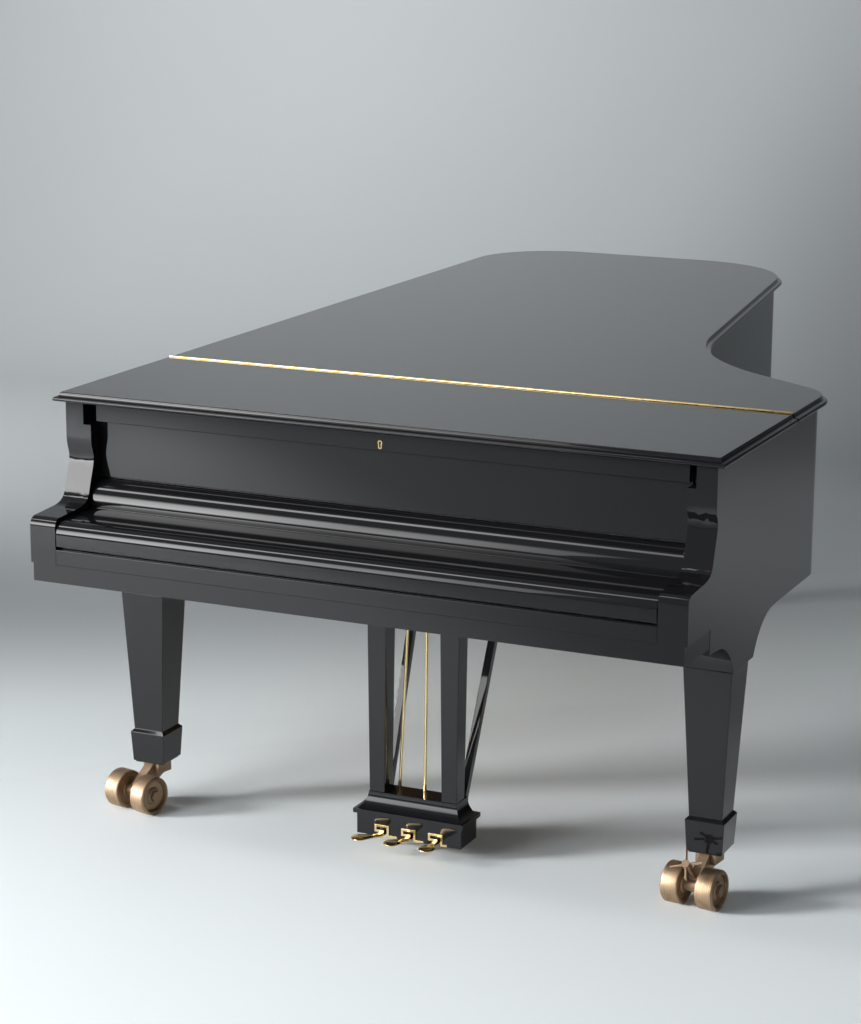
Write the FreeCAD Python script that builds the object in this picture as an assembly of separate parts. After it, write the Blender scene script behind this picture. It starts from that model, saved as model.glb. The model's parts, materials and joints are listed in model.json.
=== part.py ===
import FreeCAD, Part
import math
import os

# Concert grand piano, in millimetres.
# While a piece is made, Y runs from the front of the arms (0) to the tail, X from bass to treble,
# and Z up from the floor. The last step moves every piece so that the origin is under the middle.

# Case outline, seen from above, at the outer face of the rim
LENGTH = 2740.0
CASE_HALF = 766.0
LID_OVERHANG = 21.0
BASS_TAIL_RADIUS = 236.0
TREBLE_TAIL_RADIUS = 311.0
WAIST_RADIUS = 647.0
CHEEK_RADIUS = 120.0
BENT_ANGLE = 7.95
WAIST_ANGLE = 56.0
BENT_X = CASE_HALF - 591.0
BENT_Y = LENGTH - 422.0
CHEEK_Y = 833.0

# Heights
RIM_BOTTOM = 625.0
RIM_TOP = 1013.0
KEYBED_BOTTOM = 639.0
KEYBED_TOP = 680.0
INNER_RIM_TOP = 831.0

# Walls
RIM_WALL = 30.0
ARM_THICK = 64.0
FIT_GAP = 0.3
SIDE_GAP = 2.0

# Arms, as (Y, Z) points of the front edge
ARM_REAR = 650.0
ARM_NECK = (158.0, 935.0)
ARM_COVE_TOP = (167.0, 893.0)
ARM_COVE_MID = (150.0, 832.0)
ARM_COVE_FOOT = (95.0, 787.0)
ARM_NOSE = (20.0, 783.0)
ARM_STEP_Y = 140.0
RAIL_NOTCH_WIDE = 19.0
RAIL_NOTCH_LOW = 5.0
RAIL_NOTCH_REAR = 10.0

# Lid
LID_THICK = 20.0
LID_SEAT = 3.0
LIP_THICK = 10.0
LIP_STEP = 12.0
LID_FRONT_Y = 136.0
FOLD_Y = 634.0
FOLD_GAP = 3.6
KNUCKLE_RADIUS = 3.2
KNUCKLE_RISE = 1.2
KNUCKLE_PITCH = 42.0
KNUCKLE_GAP = 0.6
FOLD_LEAF_WIDE = 8.0
FOLD_LEAF_THICK = 1.5
FOLD_END_INSET = 2.0

# Hinges along the bass side
BUTT_OUT = 6.0
BUTT_DROP = 4.0
BUTT_RADIUS = 4.0
BUTT_LONG = 120.0
BUTT_LEAF_WIDE = 26.0
BUTT_LEAF_THICK = 1.2
BUTT_PIN_RADIUS = 1.5
BUTT_PLACES = (820.0, LENGTH / 2 + 110.0, LENGTH - 600.0)
PIN_CLEAR = 0.05
BUMPER_RADIUS = 8.0

# Drop rail under the front flap and its lock plate
RAIL_FRONT_Y = 178.0
RAIL_THICK = 14.0
RAIL_BOTTOM = RIM_TOP - 43.0
LOCK_X = 5.0
LOCK_Z = RIM_TOP - 28.7
LOCK_HEAD = 5.6
LOCK_WIDE = 8.8
LOCK_TALL = 18.6
LOCK_THICK = 1.5
LOCK_CORNER = 2.5
KEYHOLE_RADIUS = 2.9
KEYHOLE_SLOT = 3.6
KEYHOLE_FOOT = 2.7

# Fallboard
FALL_LIP_BOTTOM = 722.0
FALL_LIP_TOP = 747.0
FALL_LIP_THICK = 15.0
FALL_TOP_FRONT = 776.0
FALL_TOP_REAR = 778.0
FALL_NOSE = 29.0
FALL_THICK = 18.0
ROLL_Y = 198.0
ROLL_Z = 787.0
ROLL_RADIUS = 50.0
ROLL_LOW = 0.36
ROLL_BACK = 0.18
FALL_CHEEK = 12.0
FALL_BOSS_RADIUS = 10.0
FALL_PIN_RADIUS = 6.0
FALL_PIN_LONG = 20.0

# Front panel, key slip and key blocks
NAMEBOARD_Y = 194.0
NAMEBOARD_THICK = 20.0
NAMEBOARD_BOTTOM = 842.0
SLIP_THICK = 20.0
SLIP_TOP = 714.5
BLOCK_TOP = 722.0
BLOCK_REAR = 176.0
KEYBED_INSET = 6.0
KEYBED_INSET_STEP = 0.6
KEYBED_REAR = 668.0

# Music tray and desk
TRAY_THICK = 8.0
TRAY_BOTTOM = RIM_TOP - 25.0
TRAY_REAR = 520.0
LEDGE_WIDE = 12.0
LEDGE_TALL = 15.0
DESK_HALF = 350.0
DESK_FRONT = 300.0
DESK_DEEP = 215.0
DESK_THICK = 11.0
DESK_LIFT = 0.5

# Keys
NATURALS = 52
KEY_SPARE = 91.0
KEY_PITCH = 2 * (CASE_HALF - ARM_THICK - KEY_SPARE) / NATURALS
KEY_GAP = 1.0
KEY_FRONT = 28.0
KEY_HEAD_LONG = 150.0
KEY_TOP = 732.0
KEY_BOTTOM = 706.0
STICK_TOP = 722.0
STICK_REAR = 560.0
NATURAL_STICK = 0.468 * KEY_PITCH
SHARP_STICK = 0.383 * KEY_PITCH
SHARP_LONG = 95.0
SHARP_WIDE = 0.4255 * KEY_PITCH
SHARP_RISE = 12.0
SHARP_TAPER = 1.2
BALANCE_Y = 287.0
BALANCE_RIDGE = 8.0

# Key frame and action
FRAME_RAIL_TALL = 10.0
FRONT_RAIL = (34.0, 64.0)
BALANCE_RAIL = (262.0, 312.0)
BACK_RAIL = (536.0, 566.0)
FRAME_BAR_WIDE = 30.0
FRAME_BARS = 5
HAMMER_PIVOT_Y = 505.0
HAMMER_PIVOT_Z = 815.0
HAMMER_LONG = 125.0
HAMMER_REST = 20.0
SHANK_RADIUS = 2.8
BUTT_HAMMER_RADIUS = 5.0
CENTRE_PIN_RADIUS = 1.5
HAMMER_WIDE = 0.383 * KEY_PITCH
HAMMER_DEEP = 24.0
HAMMER_TALL = 68.0
BRACKET_THICK = 5.0
HAMMER_RAIL = (476.0, 494.0)
HAMMER_RAIL_TALL = 20.0

# Strung back: board, bridges, plate, pins and strings
BELLY_Y = 710.0
BELLY_THICK = 40.0
BOARD_THICK = 9.0
PLATE_THICK = 12.0
PLATE_FRONT = 290.0
PLATE_WEB_REAR = 600.0
PLATE_OPEN_Y = 604.0
PIN_BLOCK_Y = (300.0, 470.0)
PIN_BLOCK_TALL = 35.0
TUNING_PIN_RADIUS = 3.5
TUNING_PIN_ABOVE = 20.0
TUNING_PIN_DEEP = 28.0
TUNING_PIN_CLEAR = 0.1
PIN_ROWS = 3
PIN_ROW_STEP = 45.0
PIN_FIRST_Y = 440.0
CAPO_Y = (584.0, 597.0)
STRING_Z = 880.0
BASS_STRING_Z = 905.0
STRING_CLEAR = 0.4
STEEL_RADIUS = 0.7
COPPER_RADIUS = 2.0
BASS_NOTES = 20
TOP_STRING = 52.0
TENOR_LONG = LENGTH - 920.0
TENOR_LEAN = 6.0
BASS_LONG = LENGTH - 1020.0
BASS_GROWTH = 12.0
BASS_LEAN = 8.0
STRING_TAIL = 70.0
BRIDGE_WIDE = 28.0
STRUT_WIDE = 12.0
STRUT_TALL = 46.0
BASS_STRUT_TALL = 34.0
STRUT_NOTES = (20, 39, 56, 68)
STRIKE_REAR = 656.0
STRIKE_ROOM = 3.0
BRIDGE_CLEAR = 3.0
BASS_BRIDGE_CLEAR = 25.0
PLATE_RIM = 70.0
RIB_WIDE = 24.0
RIB_TALL = 25.0
RIB_STEP = 190.0
RIB_ANGLE = 35.0

# Dampers
DAMPERS = 70
DAMPER_Y = 675.0
DAMPER_LONG = 44.0
DAMPER_WIDE = 8.0
DAMPER_TALL = 14.0
DAMPER_WIRE = 1.0
DAMPER_TRAY_Z = (764.0, 778.0)
DAMPER_TRAY_Y = (662.0, 688.0)
SOSTENUTO_Y = 698.0
SOSTENUTO_Z = 800.0
SOSTENUTO_RADIUS = 4.0
SOSTENUTO_BLADE = 10.0
SOSTENUTO_BEARING = 12.0
SOSTENUTO_BEARINGS = 4

# Under-frame
BRACE_WIDE = 60.0
BRACE_BOTTOM = 655.0
BRACE_TOP = 755.0
BRACE_PLACES = (-480.0, -200.0, 90.0, 400.0)
TAIL_BEAM_DEEP = 170.0

# Legs
LEG_X = CASE_HALF - 72.5
LEG_Y = 403.5
TAIL_LEG_X = 426.0 - CASE_HALF
TAIL_LEG_Y = LENGTH - 340.0
LEG_TOP = 527.0
LEG_TOP_WIDE = 110.0
SHAFT_FOOT_Z = 189.0
SHAFT_FOOT_WIDE = 76.0
FOOT_TOP = 182.0
FOOT_TOP_WIDE = 90.0
FOOT_BOTTOM = 110.0
FOOT_BOTTOM_WIDE = 82.0
BRACKET_WIDE = 117.0
BRACKET_FRONT = (349.0, 480.0)
BRACKET_COVE_FRONT = 215.0
BRACKET_COVE_REAR = 636.0
COVE_LIP = 16.0
COVE_FULL = 0.32
TAIL_BLOCK_WIDE = 150.0

# Casters
WHEEL_RADIUS = 45.5
WHEEL_WIDE = 42.0
WHEEL_SPACE = 83.0
WHEEL_EDGE = 4.0
WHEEL_DISH = 10.0
WHEEL_RIM = 9.0
HUB_RADIUS = 19.0
HUB_INSET = 4.0
AXLE_RADIUS = 9.0
NUT_FLATS = 24.0
NUT_THICK = 7.0
CASTER_TRAIL = 74.0
CASTER_YAW = {"bass": -13.0, "treble": -7.0, "tail": 20.0}
STEM_RADIUS = 11.0
STEM_LONG = 46.0
PLATE_CASTER = 4.0
CROWN_WIDE = 48.0
CROWN_DEEP = 44.0
CROWN_TALL = 27.0
WEB_THICK = 24.0
BRAKE_LONG = 72.0
BRAKE_RADIUS = 4.0
BRAKE_HUB = 9.0
BRAKE_SPOKE = 36.0
BRAKE_SPOKES = 4
BRAKE_TILT = 45.0
BRAKE_TURN = 20.0

# Lyre and pedals
LYRE_X = -4.0
LYRE_HALF = 130.0
LYRE_FRONT = 346.0
LYRE_REAR = 432.0
LYRE_BOTTOM = 30.0
BOX_TOP = 80.0
MOULD_TOP = 90.0
MOULD_OUT = 7.0
CAVETTO_TOP = 127.0
CAVETTO_IN = 20.0
PILLAR_X = 90.0
PILLAR_Y = 390.0
PILLAR_TOP = (49.0, 50.0)
PILLAR_FOOT = (37.5, 44.0)
BOX_WALL = 12.0
BOX_ROOF = 10.0
LYRE_BRACE_X = 94.0
LYRE_BRACE_TOP_X = 108.0
LYRE_BRACE_TOP_Y = 646.0
LYRE_BRACE_WIDE = 18.0
LYRE_BRACE_DEEP = 20.0
LYRE_BRACE_FOOT_Z = 116.0
PEDAL_PITCH = 67.0
PEDAL_PIVOT_Y = 372.0
PEDAL_PIVOT_Z = 35.5
PEDAL_PIN_RADIUS = 4.0
PEDAL_BOSS = 7.0
PEDAL_SHANK = 18.0
PEDAL_THICK = 9.0
PEDAL_REACH = 81.0
PEDAL_TIP = 42.0
PEDAL_TIP_RISE = 9.0
PEDAL_SPLAY = {"left": -26.0, "middle": -13.0, "right": 6.0}
PEDAL_REAR_Y = 424.0
SLOT_SIDE = 7.0
SLOT_TOP = 48.0
ROD_Y = 418.0
ROD_ASIDE = 7.0
ROD_RADIUS = 3.5
ROD_HOLE = 6.0
ROD_TOP = 662.0
ROD_SLEEVE_RADIUS = 4.4
ROD_SLEEVE = (128.0, 142.0)
ROD_LEAN = {"left": 30.0, "middle": 5.0, "right": -20.0}
TRIM_BAR = 5.5
TRIM_THICK = 2.5
TRIM_WIDE = 36.0
TRIM_TALL = 28.0
TRIM_HOOK = 18.0
TRIM_LINK = 20.0
TRIM_LAST = 11.0

# Prop stick along the bent side
PROP_LONG = 890.0
PROP_RADIUS = 8.0
PROP_Y = LENGTH / 2
PROP_Z = 890.0
PROP_OFF_RIM = 27.0
PROP_PIN_RADIUS = 5.0
PROP_PIN_IN = 18.0
PROP_DROOP = 1.5
PROP_AXIS = (0.901, 0.137, 0.412)

# Sizes that follow from the ones above
ARM_IN = CASE_HALF - ARM_THICK
TAIL_Y = LENGTH - LID_OVERHANG
LID_BOTTOM = RIM_TOP + LID_SEAT
LID_TOP = LID_BOTTOM + LID_THICK
LID_EDGE = LID_OVERHANG - LIP_STEP
BOARD_TOP = INNER_RIM_TOP + BOARD_THICK
PLATE_TOP = BOARD_TOP + PLATE_THICK
KEYS_HALF = NATURALS * KEY_PITCH / 2
KEY_REAR = KEY_FRONT + KEY_HEAD_LONG
NOTES = 88
STRING_GROWTH = (TENOR_LONG / TOP_STRING) ** (1 / (NOTES - 1 - BASS_NOTES))
BUTT_X = -CASE_HALF - BUTT_OUT
BUTT_Z = RIM_TOP - BUTT_DROP
FOLD_Z = LID_TOP + KNUCKLE_RISE
TRIM_FOOT_Z = LYRE_BOTTOM

V = FreeCAD.Vector
X_AXIS = V(1, 0, 0)
Y_AXIS = V(0, 1, 0)
Z_AXIS = V(0, 0, 1)


def box(x0, x1, y0, y1, z0, z1):
    return Part.makeBox(x1 - x0, y1 - y0, z1 - z0, V(x0, y0, z0))


def rod(start, end, radius):
    way = end - start
    return Part.makeCylinder(radius, way.Length, start, way)


def rod_x(x0, x1, y, z, radius):
    return Part.makeCylinder(radius, x1 - x0, V(x0, y, z), X_AXIS)


def prism_x(points, x0, x1):
    wire = Part.makePolygon([V(x0, y, z) for y, z in points + points[:1]])
    return Part.Face(wire).extrude(V(x1 - x0, 0, 0))


def line(start, end):
    return Part.LineSegment(start, end).toShape()


def arc(start, middle, end):
    return Part.Arc(start, middle, end).toShape()


def frustum(x, y, z0, wide0, deep0, z1, wide1, deep1):
    rings = []
    for z, wide, deep in ((z0, wide0, deep0), (z1, wide1, deep1)):
        corners = [(-1, -1), (1, -1), (1, 1), (-1, 1), (-1, -1)]
        rings.append(Part.makePolygon([V(x + i * wide / 2, y + j * deep / 2, z) for i, j in corners]))
    return Part.makeLoft(rings, True, True)


def fuse(shapes):
    joined = shapes[0].fuse(shapes[1:]) if len(shapes) > 1 else shapes[0]
    return joined.removeSplitter()


def group(shapes):
    return Part.makeCompound(shapes)


def mirror_x(shape):
    return shape.mirror(V(0, 0, 0), X_AXIS)


def cut_all(shape, tools):
    return shape.cut(group(tools))


def on_circle(centre, radius, degrees):
    angle = math.radians(degrees)
    return V(centre.x + radius * math.cos(angle), centre.y + radius * math.sin(angle), 0)


def outline_centres():
    """Centres of the four corner arcs; every parallel outline shares them."""
    bent = V(math.cos(math.radians(BENT_ANGLE)), math.sin(math.radians(BENT_ANGLE)), 0)
    waist = V(math.cos(math.radians(WAIST_ANGLE)), math.sin(math.radians(WAIST_ANGLE)), 0)
    bass_tail = V(-CASE_HALF + BASS_TAIL_RADIUS, TAIL_Y - BASS_TAIL_RADIUS, 0)
    bent_reach = bent.dot(V(BENT_X, BENT_Y, 0))
    treble_y = TAIL_Y - TREBLE_TAIL_RADIUS
    treble_x = (bent_reach - TREBLE_TAIL_RADIUS - bent.y * treble_y) / bent.x
    cheek = V(CASE_HALF - CHEEK_RADIUS, CHEEK_Y, 0)
    first = bent_reach + WAIST_RADIUS
    second = waist.dot(cheek) + CHEEK_RADIUS + WAIST_RADIUS
    cross = bent.x * waist.y - bent.y * waist.x
    hollow = V((first * waist.y - second * bent.y) / cross, (second * bent.x - first * waist.x) / cross, 0)
    return bass_tail, V(treble_x, treble_y, 0), hollow, cheek


def outline(grow, front):
    """Closed piano-shaped face, grown outwards from the rim, with a straight front edge."""
    bass_tail, treble_tail, hollow, cheek = outline_centres()
    half = CASE_HALF + grow
    turns = (
        (bass_tail, BASS_TAIL_RADIUS + grow, 180.0, 90.0),
        (treble_tail, TREBLE_TAIL_RADIUS + grow, 90.0, BENT_ANGLE),
        (hollow, WAIST_RADIUS - grow, 180.0 + BENT_ANGLE, 180.0 + WAIST_ANGLE),
        (cheek, CHEEK_RADIUS + grow, WAIST_ANGLE, 0.0),
    )
    edges = []
    last = V(-half, front, 0)
    for centre, radius, begin, finish in turns:
        start = on_circle(centre, radius, begin)
        edges.append(line(last, start))
        middle = on_circle(centre, radius, (begin + finish) / 2)
        last = on_circle(centre, radius, finish)
        edges.append(arc(start, middle, last))
    edges.append(line(last, V(half, front, 0)))
    edges.append(line(V(half, front, 0), V(-half, front, 0)))
    return Part.Face(Part.Wire(edges))


def slab(grow, front, z0, z1):
    face = outline(grow, front)
    face.translate(V(0, 0, z0))
    return face.extrude(V(0, 0, z1 - z0))


def note_places():
    """X of each note, bass to treble, and whether it is a natural."""
    places = []
    letters = "ABCDEFG"
    for i in range(NATURALS):
        centre = -KEYS_HALF + (i + 0.5) * KEY_PITCH
        places.append((centre, True))
        if letters[i % 7] in "ACDFG" and i < NATURALS - 1:
            places.append((centre + KEY_PITCH / 2, False))
    return places


# Case

def arm(side):
    x = side * ARM_IN
    corner = V(x, 0, ARM_NOSE[1] - ARM_NOSE[0])
    nose_mid = ARM_NOSE[0] * (1 - math.sqrt(0.5))

    def at(point):
        return V(x, point[0], point[1])

    foot = at(ARM_COVE_FOOT)
    cove = Part.BSplineCurve()
    cove.interpolate(Points=[at(ARM_NECK), at(ARM_COVE_TOP), at(ARM_COVE_MID), foot],
                     InitialTangent=Z_AXIS * -1, FinalTangent=at(ARM_NOSE) - foot)
    edges = [
        line(V(x, ARM_NECK[0], RIM_TOP), at(ARM_NECK)),
        cove.toShape(),
        line(at(ARM_COVE_FOOT), at(ARM_NOSE)),
        arc(at(ARM_NOSE), V(x, nose_mid, ARM_NOSE[1] - nose_mid), corner),
        line(corner, V(x, 0, KEYBED_TOP)),
        line(V(x, 0, KEYBED_TOP), V(x, ARM_STEP_Y, KEYBED_TOP)),
        line(V(x, ARM_STEP_Y, KEYBED_TOP), V(x, ARM_STEP_Y, RIM_BOTTOM)),
        line(V(x, ARM_STEP_Y, RIM_BOTTOM), V(x, ARM_REAR, RIM_BOTTOM)),
        line(V(x, ARM_REAR, RIM_BOTTOM), V(x, ARM_REAR, RIM_TOP)),
        line(V(x, ARM_REAR, RIM_TOP), V(x, ARM_NECK[0], RIM_TOP)),
    ]
    solid = Part.Face(Part.Wire(edges)).extrude(V(side * ARM_THICK, 0, 0))
    inner = min(side * ARM_IN, side * (ARM_IN + RAIL_NOTCH_WIDE))
    notch = box(inner, inner + RAIL_NOTCH_WIDE, 0, RAIL_FRONT_Y + RAIL_THICK + RAIL_NOTCH_REAR,
                RAIL_BOTTOM - RAIL_NOTCH_LOW, RIM_TOP)
    pivot_end = side * (ARM_IN + FALL_PIN_LONG + 1)
    pivot = rod_x(min(x, pivot_end), max(x, pivot_end), ROLL_Y, ROLL_Z, FALL_PIN_RADIUS + PIN_CLEAR)
    ledge_in = min(side * ARM_IN, side * (ARM_IN - LEDGE_WIDE))
    ledge = box(ledge_in, ledge_in + LEDGE_WIDE, DESK_FRONT, TRAY_REAR,
                TRAY_BOTTOM - LEDGE_TALL, TRAY_BOTTOM)
    return solid.cut([notch, pivot]).fuse(ledge)


def rim():
    outer = slab(0, ARM_REAR, RIM_BOTTOM, RIM_TOP)
    hollow = slab(-RIM_WALL, ARM_REAR - RIM_WALL, RIM_BOTTOM, RIM_TOP)
    return fuse([outer.cut(hollow), arm(-1), arm(1)]).cut(prop_pin(PROP_PIN_RADIUS + PIN_CLEAR, FIT_GAP))


def prop_direction():
    lean = math.radians(BENT_ANGLE)
    droop = math.radians(PROP_DROOP)
    return V(-math.sin(lean) * math.cos(droop), math.cos(lean) * math.cos(droop), -math.sin(droop))


def prop_pivot():
    """Point on the stick's axis, a fixed distance inside the rim's inner wall."""
    bass_tail, treble_tail, hollow, cheek = outline_centres()
    radius = WAIST_RADIUS + ARM_THICK + PROP_OFF_RIM
    rise = PROP_Y - hollow.y
    return V(hollow.x - math.sqrt(radius ** 2 - rise ** 2), PROP_Y, PROP_Z)


def prop_pin(radius, extra):
    pivot = prop_pivot()
    way = V(*PROP_AXIS)
    way.normalize()
    reach = (PROP_OFF_RIM + ARM_THICK - RIM_WALL + PROP_PIN_IN) / way.x + extra
    return rod(pivot, pivot + way * reach, radius)


def inner_rim():
    outer = slab(-RIM_WALL, ARM_REAR, RIM_BOTTOM, INNER_RIM_TOP)
    hollow = slab(-ARM_THICK, ARM_REAR - RIM_WALL, RIM_BOTTOM, INNER_RIM_TOP)
    return outer.cut(hollow)


def bearing_places():
    reach = KEYS_HALF - SOSTENUTO_BEARING
    step = 2 * reach / (SOSTENUTO_BEARINGS - 1)
    return [-reach + i * step for i in range(SOSTENUTO_BEARINGS)]


def belly_rail():
    """The beam behind the action, with bearings for the sostenuto rod."""
    half = SOSTENUTO_BEARING / 2
    pieces = [box(-ARM_IN, ARM_IN, BELLY_Y, BELLY_Y + BELLY_THICK, RIM_BOTTOM, INNER_RIM_TOP)]
    for x in bearing_places():
        pieces.append(box(x - half, x + half, SOSTENUTO_Y - half, BELLY_Y,
                          SOSTENUTO_Z - half, SOSTENUTO_Z + half))
    bore = rod_x(-KEYS_HALF, KEYS_HALF, SOSTENUTO_Y, SOSTENUTO_Z, SOSTENUTO_RADIUS + PIN_CLEAR)
    return fuse(pieces).cut(bore)


def sostenuto_rod():
    """A turning rod with a blade between its bearings."""
    places = bearing_places()
    reach = places[-1] + SOSTENUTO_BEARING / 2
    pieces = [rod_x(-reach, reach, SOSTENUTO_Y, SOSTENUTO_Z, SOSTENUTO_RADIUS)]
    gap = SOSTENUTO_BEARING / 2 + SIDE_GAP
    for left, right in zip(places, places[1:]):
        pieces.append(box(left + gap, right - gap, SOSTENUTO_Y - SOSTENUTO_BLADE, SOSTENUTO_Y,
                          SOSTENUTO_Z - SOSTENUTO_RADIUS / 4, SOSTENUTO_Z + SOSTENUTO_RADIUS / 4))
    return fuse(pieces)


def frame_braces():
    room = slab(-ARM_THICK, BELLY_Y + BELLY_THICK, RIM_BOTTOM, INNER_RIM_TOP)
    beams = []
    for x in BRACE_PLACES:
        beam = box(x - BRACE_WIDE / 2, x + BRACE_WIDE / 2, BELLY_Y, LENGTH, BRACE_BOTTOM, BRACE_TOP)
        beams.append(beam.common(room))
    tail = box(-CASE_HALF, CASE_HALF, TAIL_LEG_Y - TAIL_BEAM_DEEP / 2, TAIL_LEG_Y + TAIL_BEAM_DEEP / 2,
               RIM_BOTTOM, BRACE_BOTTOM)
    beams.append(tail.common(room))
    beams.append(belly_rail())
    return group([solid for beam in beams for solid in beam.Solids])


def keybed():
    near = CASE_HALF - KEYBED_INSET
    far = CASE_HALF - KEYBED_INSET_STEP
    step = ARM_STEP_Y - FIT_GAP
    places = ((-near, 0), (near, 0), (far, step), (-far, step), (-near, 0))
    corners = [V(x, y, KEYBED_BOTTOM) for x, y in places]
    front = Part.Face(Part.makePolygon(corners)).extrude(V(0, 0, KEYBED_TOP - KEYBED_BOTTOM))
    rear = box(-ARM_IN + FIT_GAP, ARM_IN - FIT_GAP, 0, KEYBED_REAR, KEYBED_BOTTOM, KEYBED_TOP)
    holes = [pedal_rod(name, ROD_HOLE, KEYBED_TOP + SIDE_GAP) for name in PEDAL_SPLAY]
    for hole in holes:
        hole.translate(V(LYRE_X, 0, 0))
    return cut_all(fuse([front, rear]), holes)


def key_slip():
    return box(-ARM_IN + FIT_GAP, ARM_IN - FIT_GAP, 0, SLIP_THICK, KEYBED_TOP, SLIP_TOP)


def key_blocks():
    inner = KEYS_HALF + 3 * SIDE_GAP
    block = box(inner, ARM_IN - FIT_GAP, SLIP_THICK, BLOCK_REAR, KEYBED_TOP, BLOCK_TOP)
    return group([block, mirror_x(block)])


def nameboard():
    return box(-ARM_IN + FIT_GAP, ARM_IN - FIT_GAP, NAMEBOARD_Y, NAMEBOARD_Y + NAMEBOARD_THICK,
               NAMEBOARD_BOTTOM, TRAY_BOTTOM)


# Strung back

def string_lines():
    """Start, end and kind of one string per note, from tuning pin to hitch."""
    lines = []
    for i, (x, natural) in enumerate(note_places()):
        if i < BASS_NOTES:
            reach = BASS_LONG - BASS_GROWTH * i + STRING_TAIL
            lean = math.radians(BASS_LEAN)
            height = BASS_STRING_Z
        else:
            reach = TOP_STRING * STRING_GROWTH ** (NOTES - 1 - i) + STRING_TAIL
            lean = -math.radians(TENOR_LEAN) * (NOTES - 1 - i) / (NOTES - BASS_NOTES)
            height = STRING_Z
        way = V(math.sin(lean), math.cos(lean), 0)
        capo = V(x, CAPO_Y[1], height)
        front = PIN_FIRST_Y - PIN_ROW_STEP * (i % PIN_ROWS)
        start = capo - way * ((capo.y - front) / way.y)
        lines.append((start, capo + way * reach, way))
    return lines


def tuning_pin_solid(start, radius, low, high):
    return Part.makeCylinder(radius, high - low, V(start.x, start.y, low), Z_AXIS)


def tuning_pin_places():
    gap = TUNING_PIN_RADIUS + STEEL_RADIUS + STRING_CLEAR
    copper = TUNING_PIN_RADIUS + COPPER_RADIUS + STRING_CLEAR
    return [(V(start.x + (copper if i < BASS_NOTES else gap), start.y, start.z), end.z)
            for i, (start, end, way) in enumerate(string_lines())]


def tuning_pins():
    return group([tuning_pin_solid(p, TUNING_PIN_RADIUS, BOARD_TOP - TUNING_PIN_DEEP, z + TUNING_PIN_ABOVE)
                  for p, z in tuning_pin_places()])


def pin_holes(low, high):
    return [tuning_pin_solid(p, TUNING_PIN_RADIUS + TUNING_PIN_CLEAR, low, high)
            for p, z in tuning_pin_places()]


def pin_block():
    block = box(-ARM_IN + FIT_GAP, ARM_IN - FIT_GAP, PIN_BLOCK_Y[0], PIN_BLOCK_Y[1],
                BOARD_TOP - PIN_BLOCK_TALL, BOARD_TOP)
    return cut_all(block, pin_holes(BOARD_TOP - TUNING_PIN_DEEP, BOARD_TOP + 1))


def string_solids(first, last, radius):
    return group([rod(start, end, radius) for start, end, way in string_lines()[first:last]])


def bass_strings():
    return string_solids(0, BASS_NOTES, COPPER_RADIUS)


def treble_strings():
    return string_solids(BASS_NOTES, NOTES, STEEL_RADIUS)


def soundboard():
    return slab(-RIM_WALL - FIT_GAP, BELLY_Y, INNER_RIM_TOP, BOARD_TOP)


def soundboard_ribs():
    front = BELLY_Y + BELLY_THICK + FIT_GAP
    room = slab(-ARM_THICK - FIT_GAP, front, INNER_RIM_TOP - RIB_TALL, INNER_RIM_TOP)
    ribs = []
    count = int((LENGTH - BELLY_Y) / RIB_STEP)
    for i in range(count):
        bar = box(-LENGTH, LENGTH, -RIB_WIDE / 2, RIB_WIDE / 2, INNER_RIM_TOP - RIB_TALL, INNER_RIM_TOP)
        bar.rotate(V(0, 0, 0), Z_AXIS, RIB_ANGLE)
        bar.translate(V(0, BELLY_Y + (i + 0.7) * RIB_STEP, 0))
        ribs += bar.common(room).Solids
    return group(ribs)


def bridge(feet, low, top, clear):
    """A bar of even width along a smooth curve, grown on every side by a clearance."""
    first = feet[0] + (feet[0] - feet[1]).normalize() * clear
    last = feet[-1] + (feet[-1] - feet[-2]).normalize() * clear
    feet = [first] + feet[1:-1] + [last]
    half = V(0, BRIDGE_WIDE / 2 + clear, 0)
    sides = [[foot - half for foot in feet], [foot + half for foot in feet]]
    edges = [line(sides[0][0], sides[1][0]), line(sides[0][-1], sides[1][-1])]
    for points in sides:
        curve = Part.BSplineCurve()
        curve.interpolate(points)
        edges.append(curve.toShape())
    face = Part.Face(Part.Wire(Part.sortEdges(edges)[0]))
    face.translate(V(0, 0, low))
    return face.extrude(V(0, 0, top - low))


def bridge_feet(notes):
    feet = []
    for i in notes:
        start, end, way = string_lines()[i]
        foot = end - way * (STRING_TAIL * 0.6)
        feet.append(V(foot.x, foot.y, 0))
    return feet


BASS_BRIDGE_NOTES = (0, 7, 13, BASS_NOTES - 1)
TREBLE_BRIDGE_NOTES = (BASS_NOTES, 28, 38, 50, 64, NOTES - 1)
BASS_BRIDGE_TOP = BASS_STRING_Z - COPPER_RADIUS - STRING_CLEAR
TREBLE_BRIDGE_TOP = STRING_Z - STEEL_RADIUS - STRING_CLEAR


def bridges():
    return group([bridge(bridge_feet(BASS_BRIDGE_NOTES), BOARD_TOP, BASS_BRIDGE_TOP, 0),
                  bridge(bridge_feet(TREBLE_BRIDGE_NOTES), BOARD_TOP, TREBLE_BRIDGE_TOP, 0)])


def bridge_room():
    """Space kept free of the plate around both bridges."""
    low = BOARD_TOP - 1
    bass = bridge(bridge_feet(BASS_BRIDGE_NOTES), low, PLATE_TOP + STRUT_TALL + 1, BASS_BRIDGE_CLEAR)
    treble = bridge(bridge_feet(TREBLE_BRIDGE_NOTES), low, TREBLE_BRIDGE_TOP + BRIDGE_CLEAR, BRIDGE_CLEAR)
    return group([bass, treble])


def strut_line(note):
    """A line in the wide gap before a note: front point, far end and direction."""
    start, end, way = string_lines()[note]
    middle = start.x - KEY_PITCH / 2
    return V(middle + way.x / way.y * (PLATE_OPEN_Y - start.y), PLATE_OPEN_Y, 0), end, way


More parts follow.
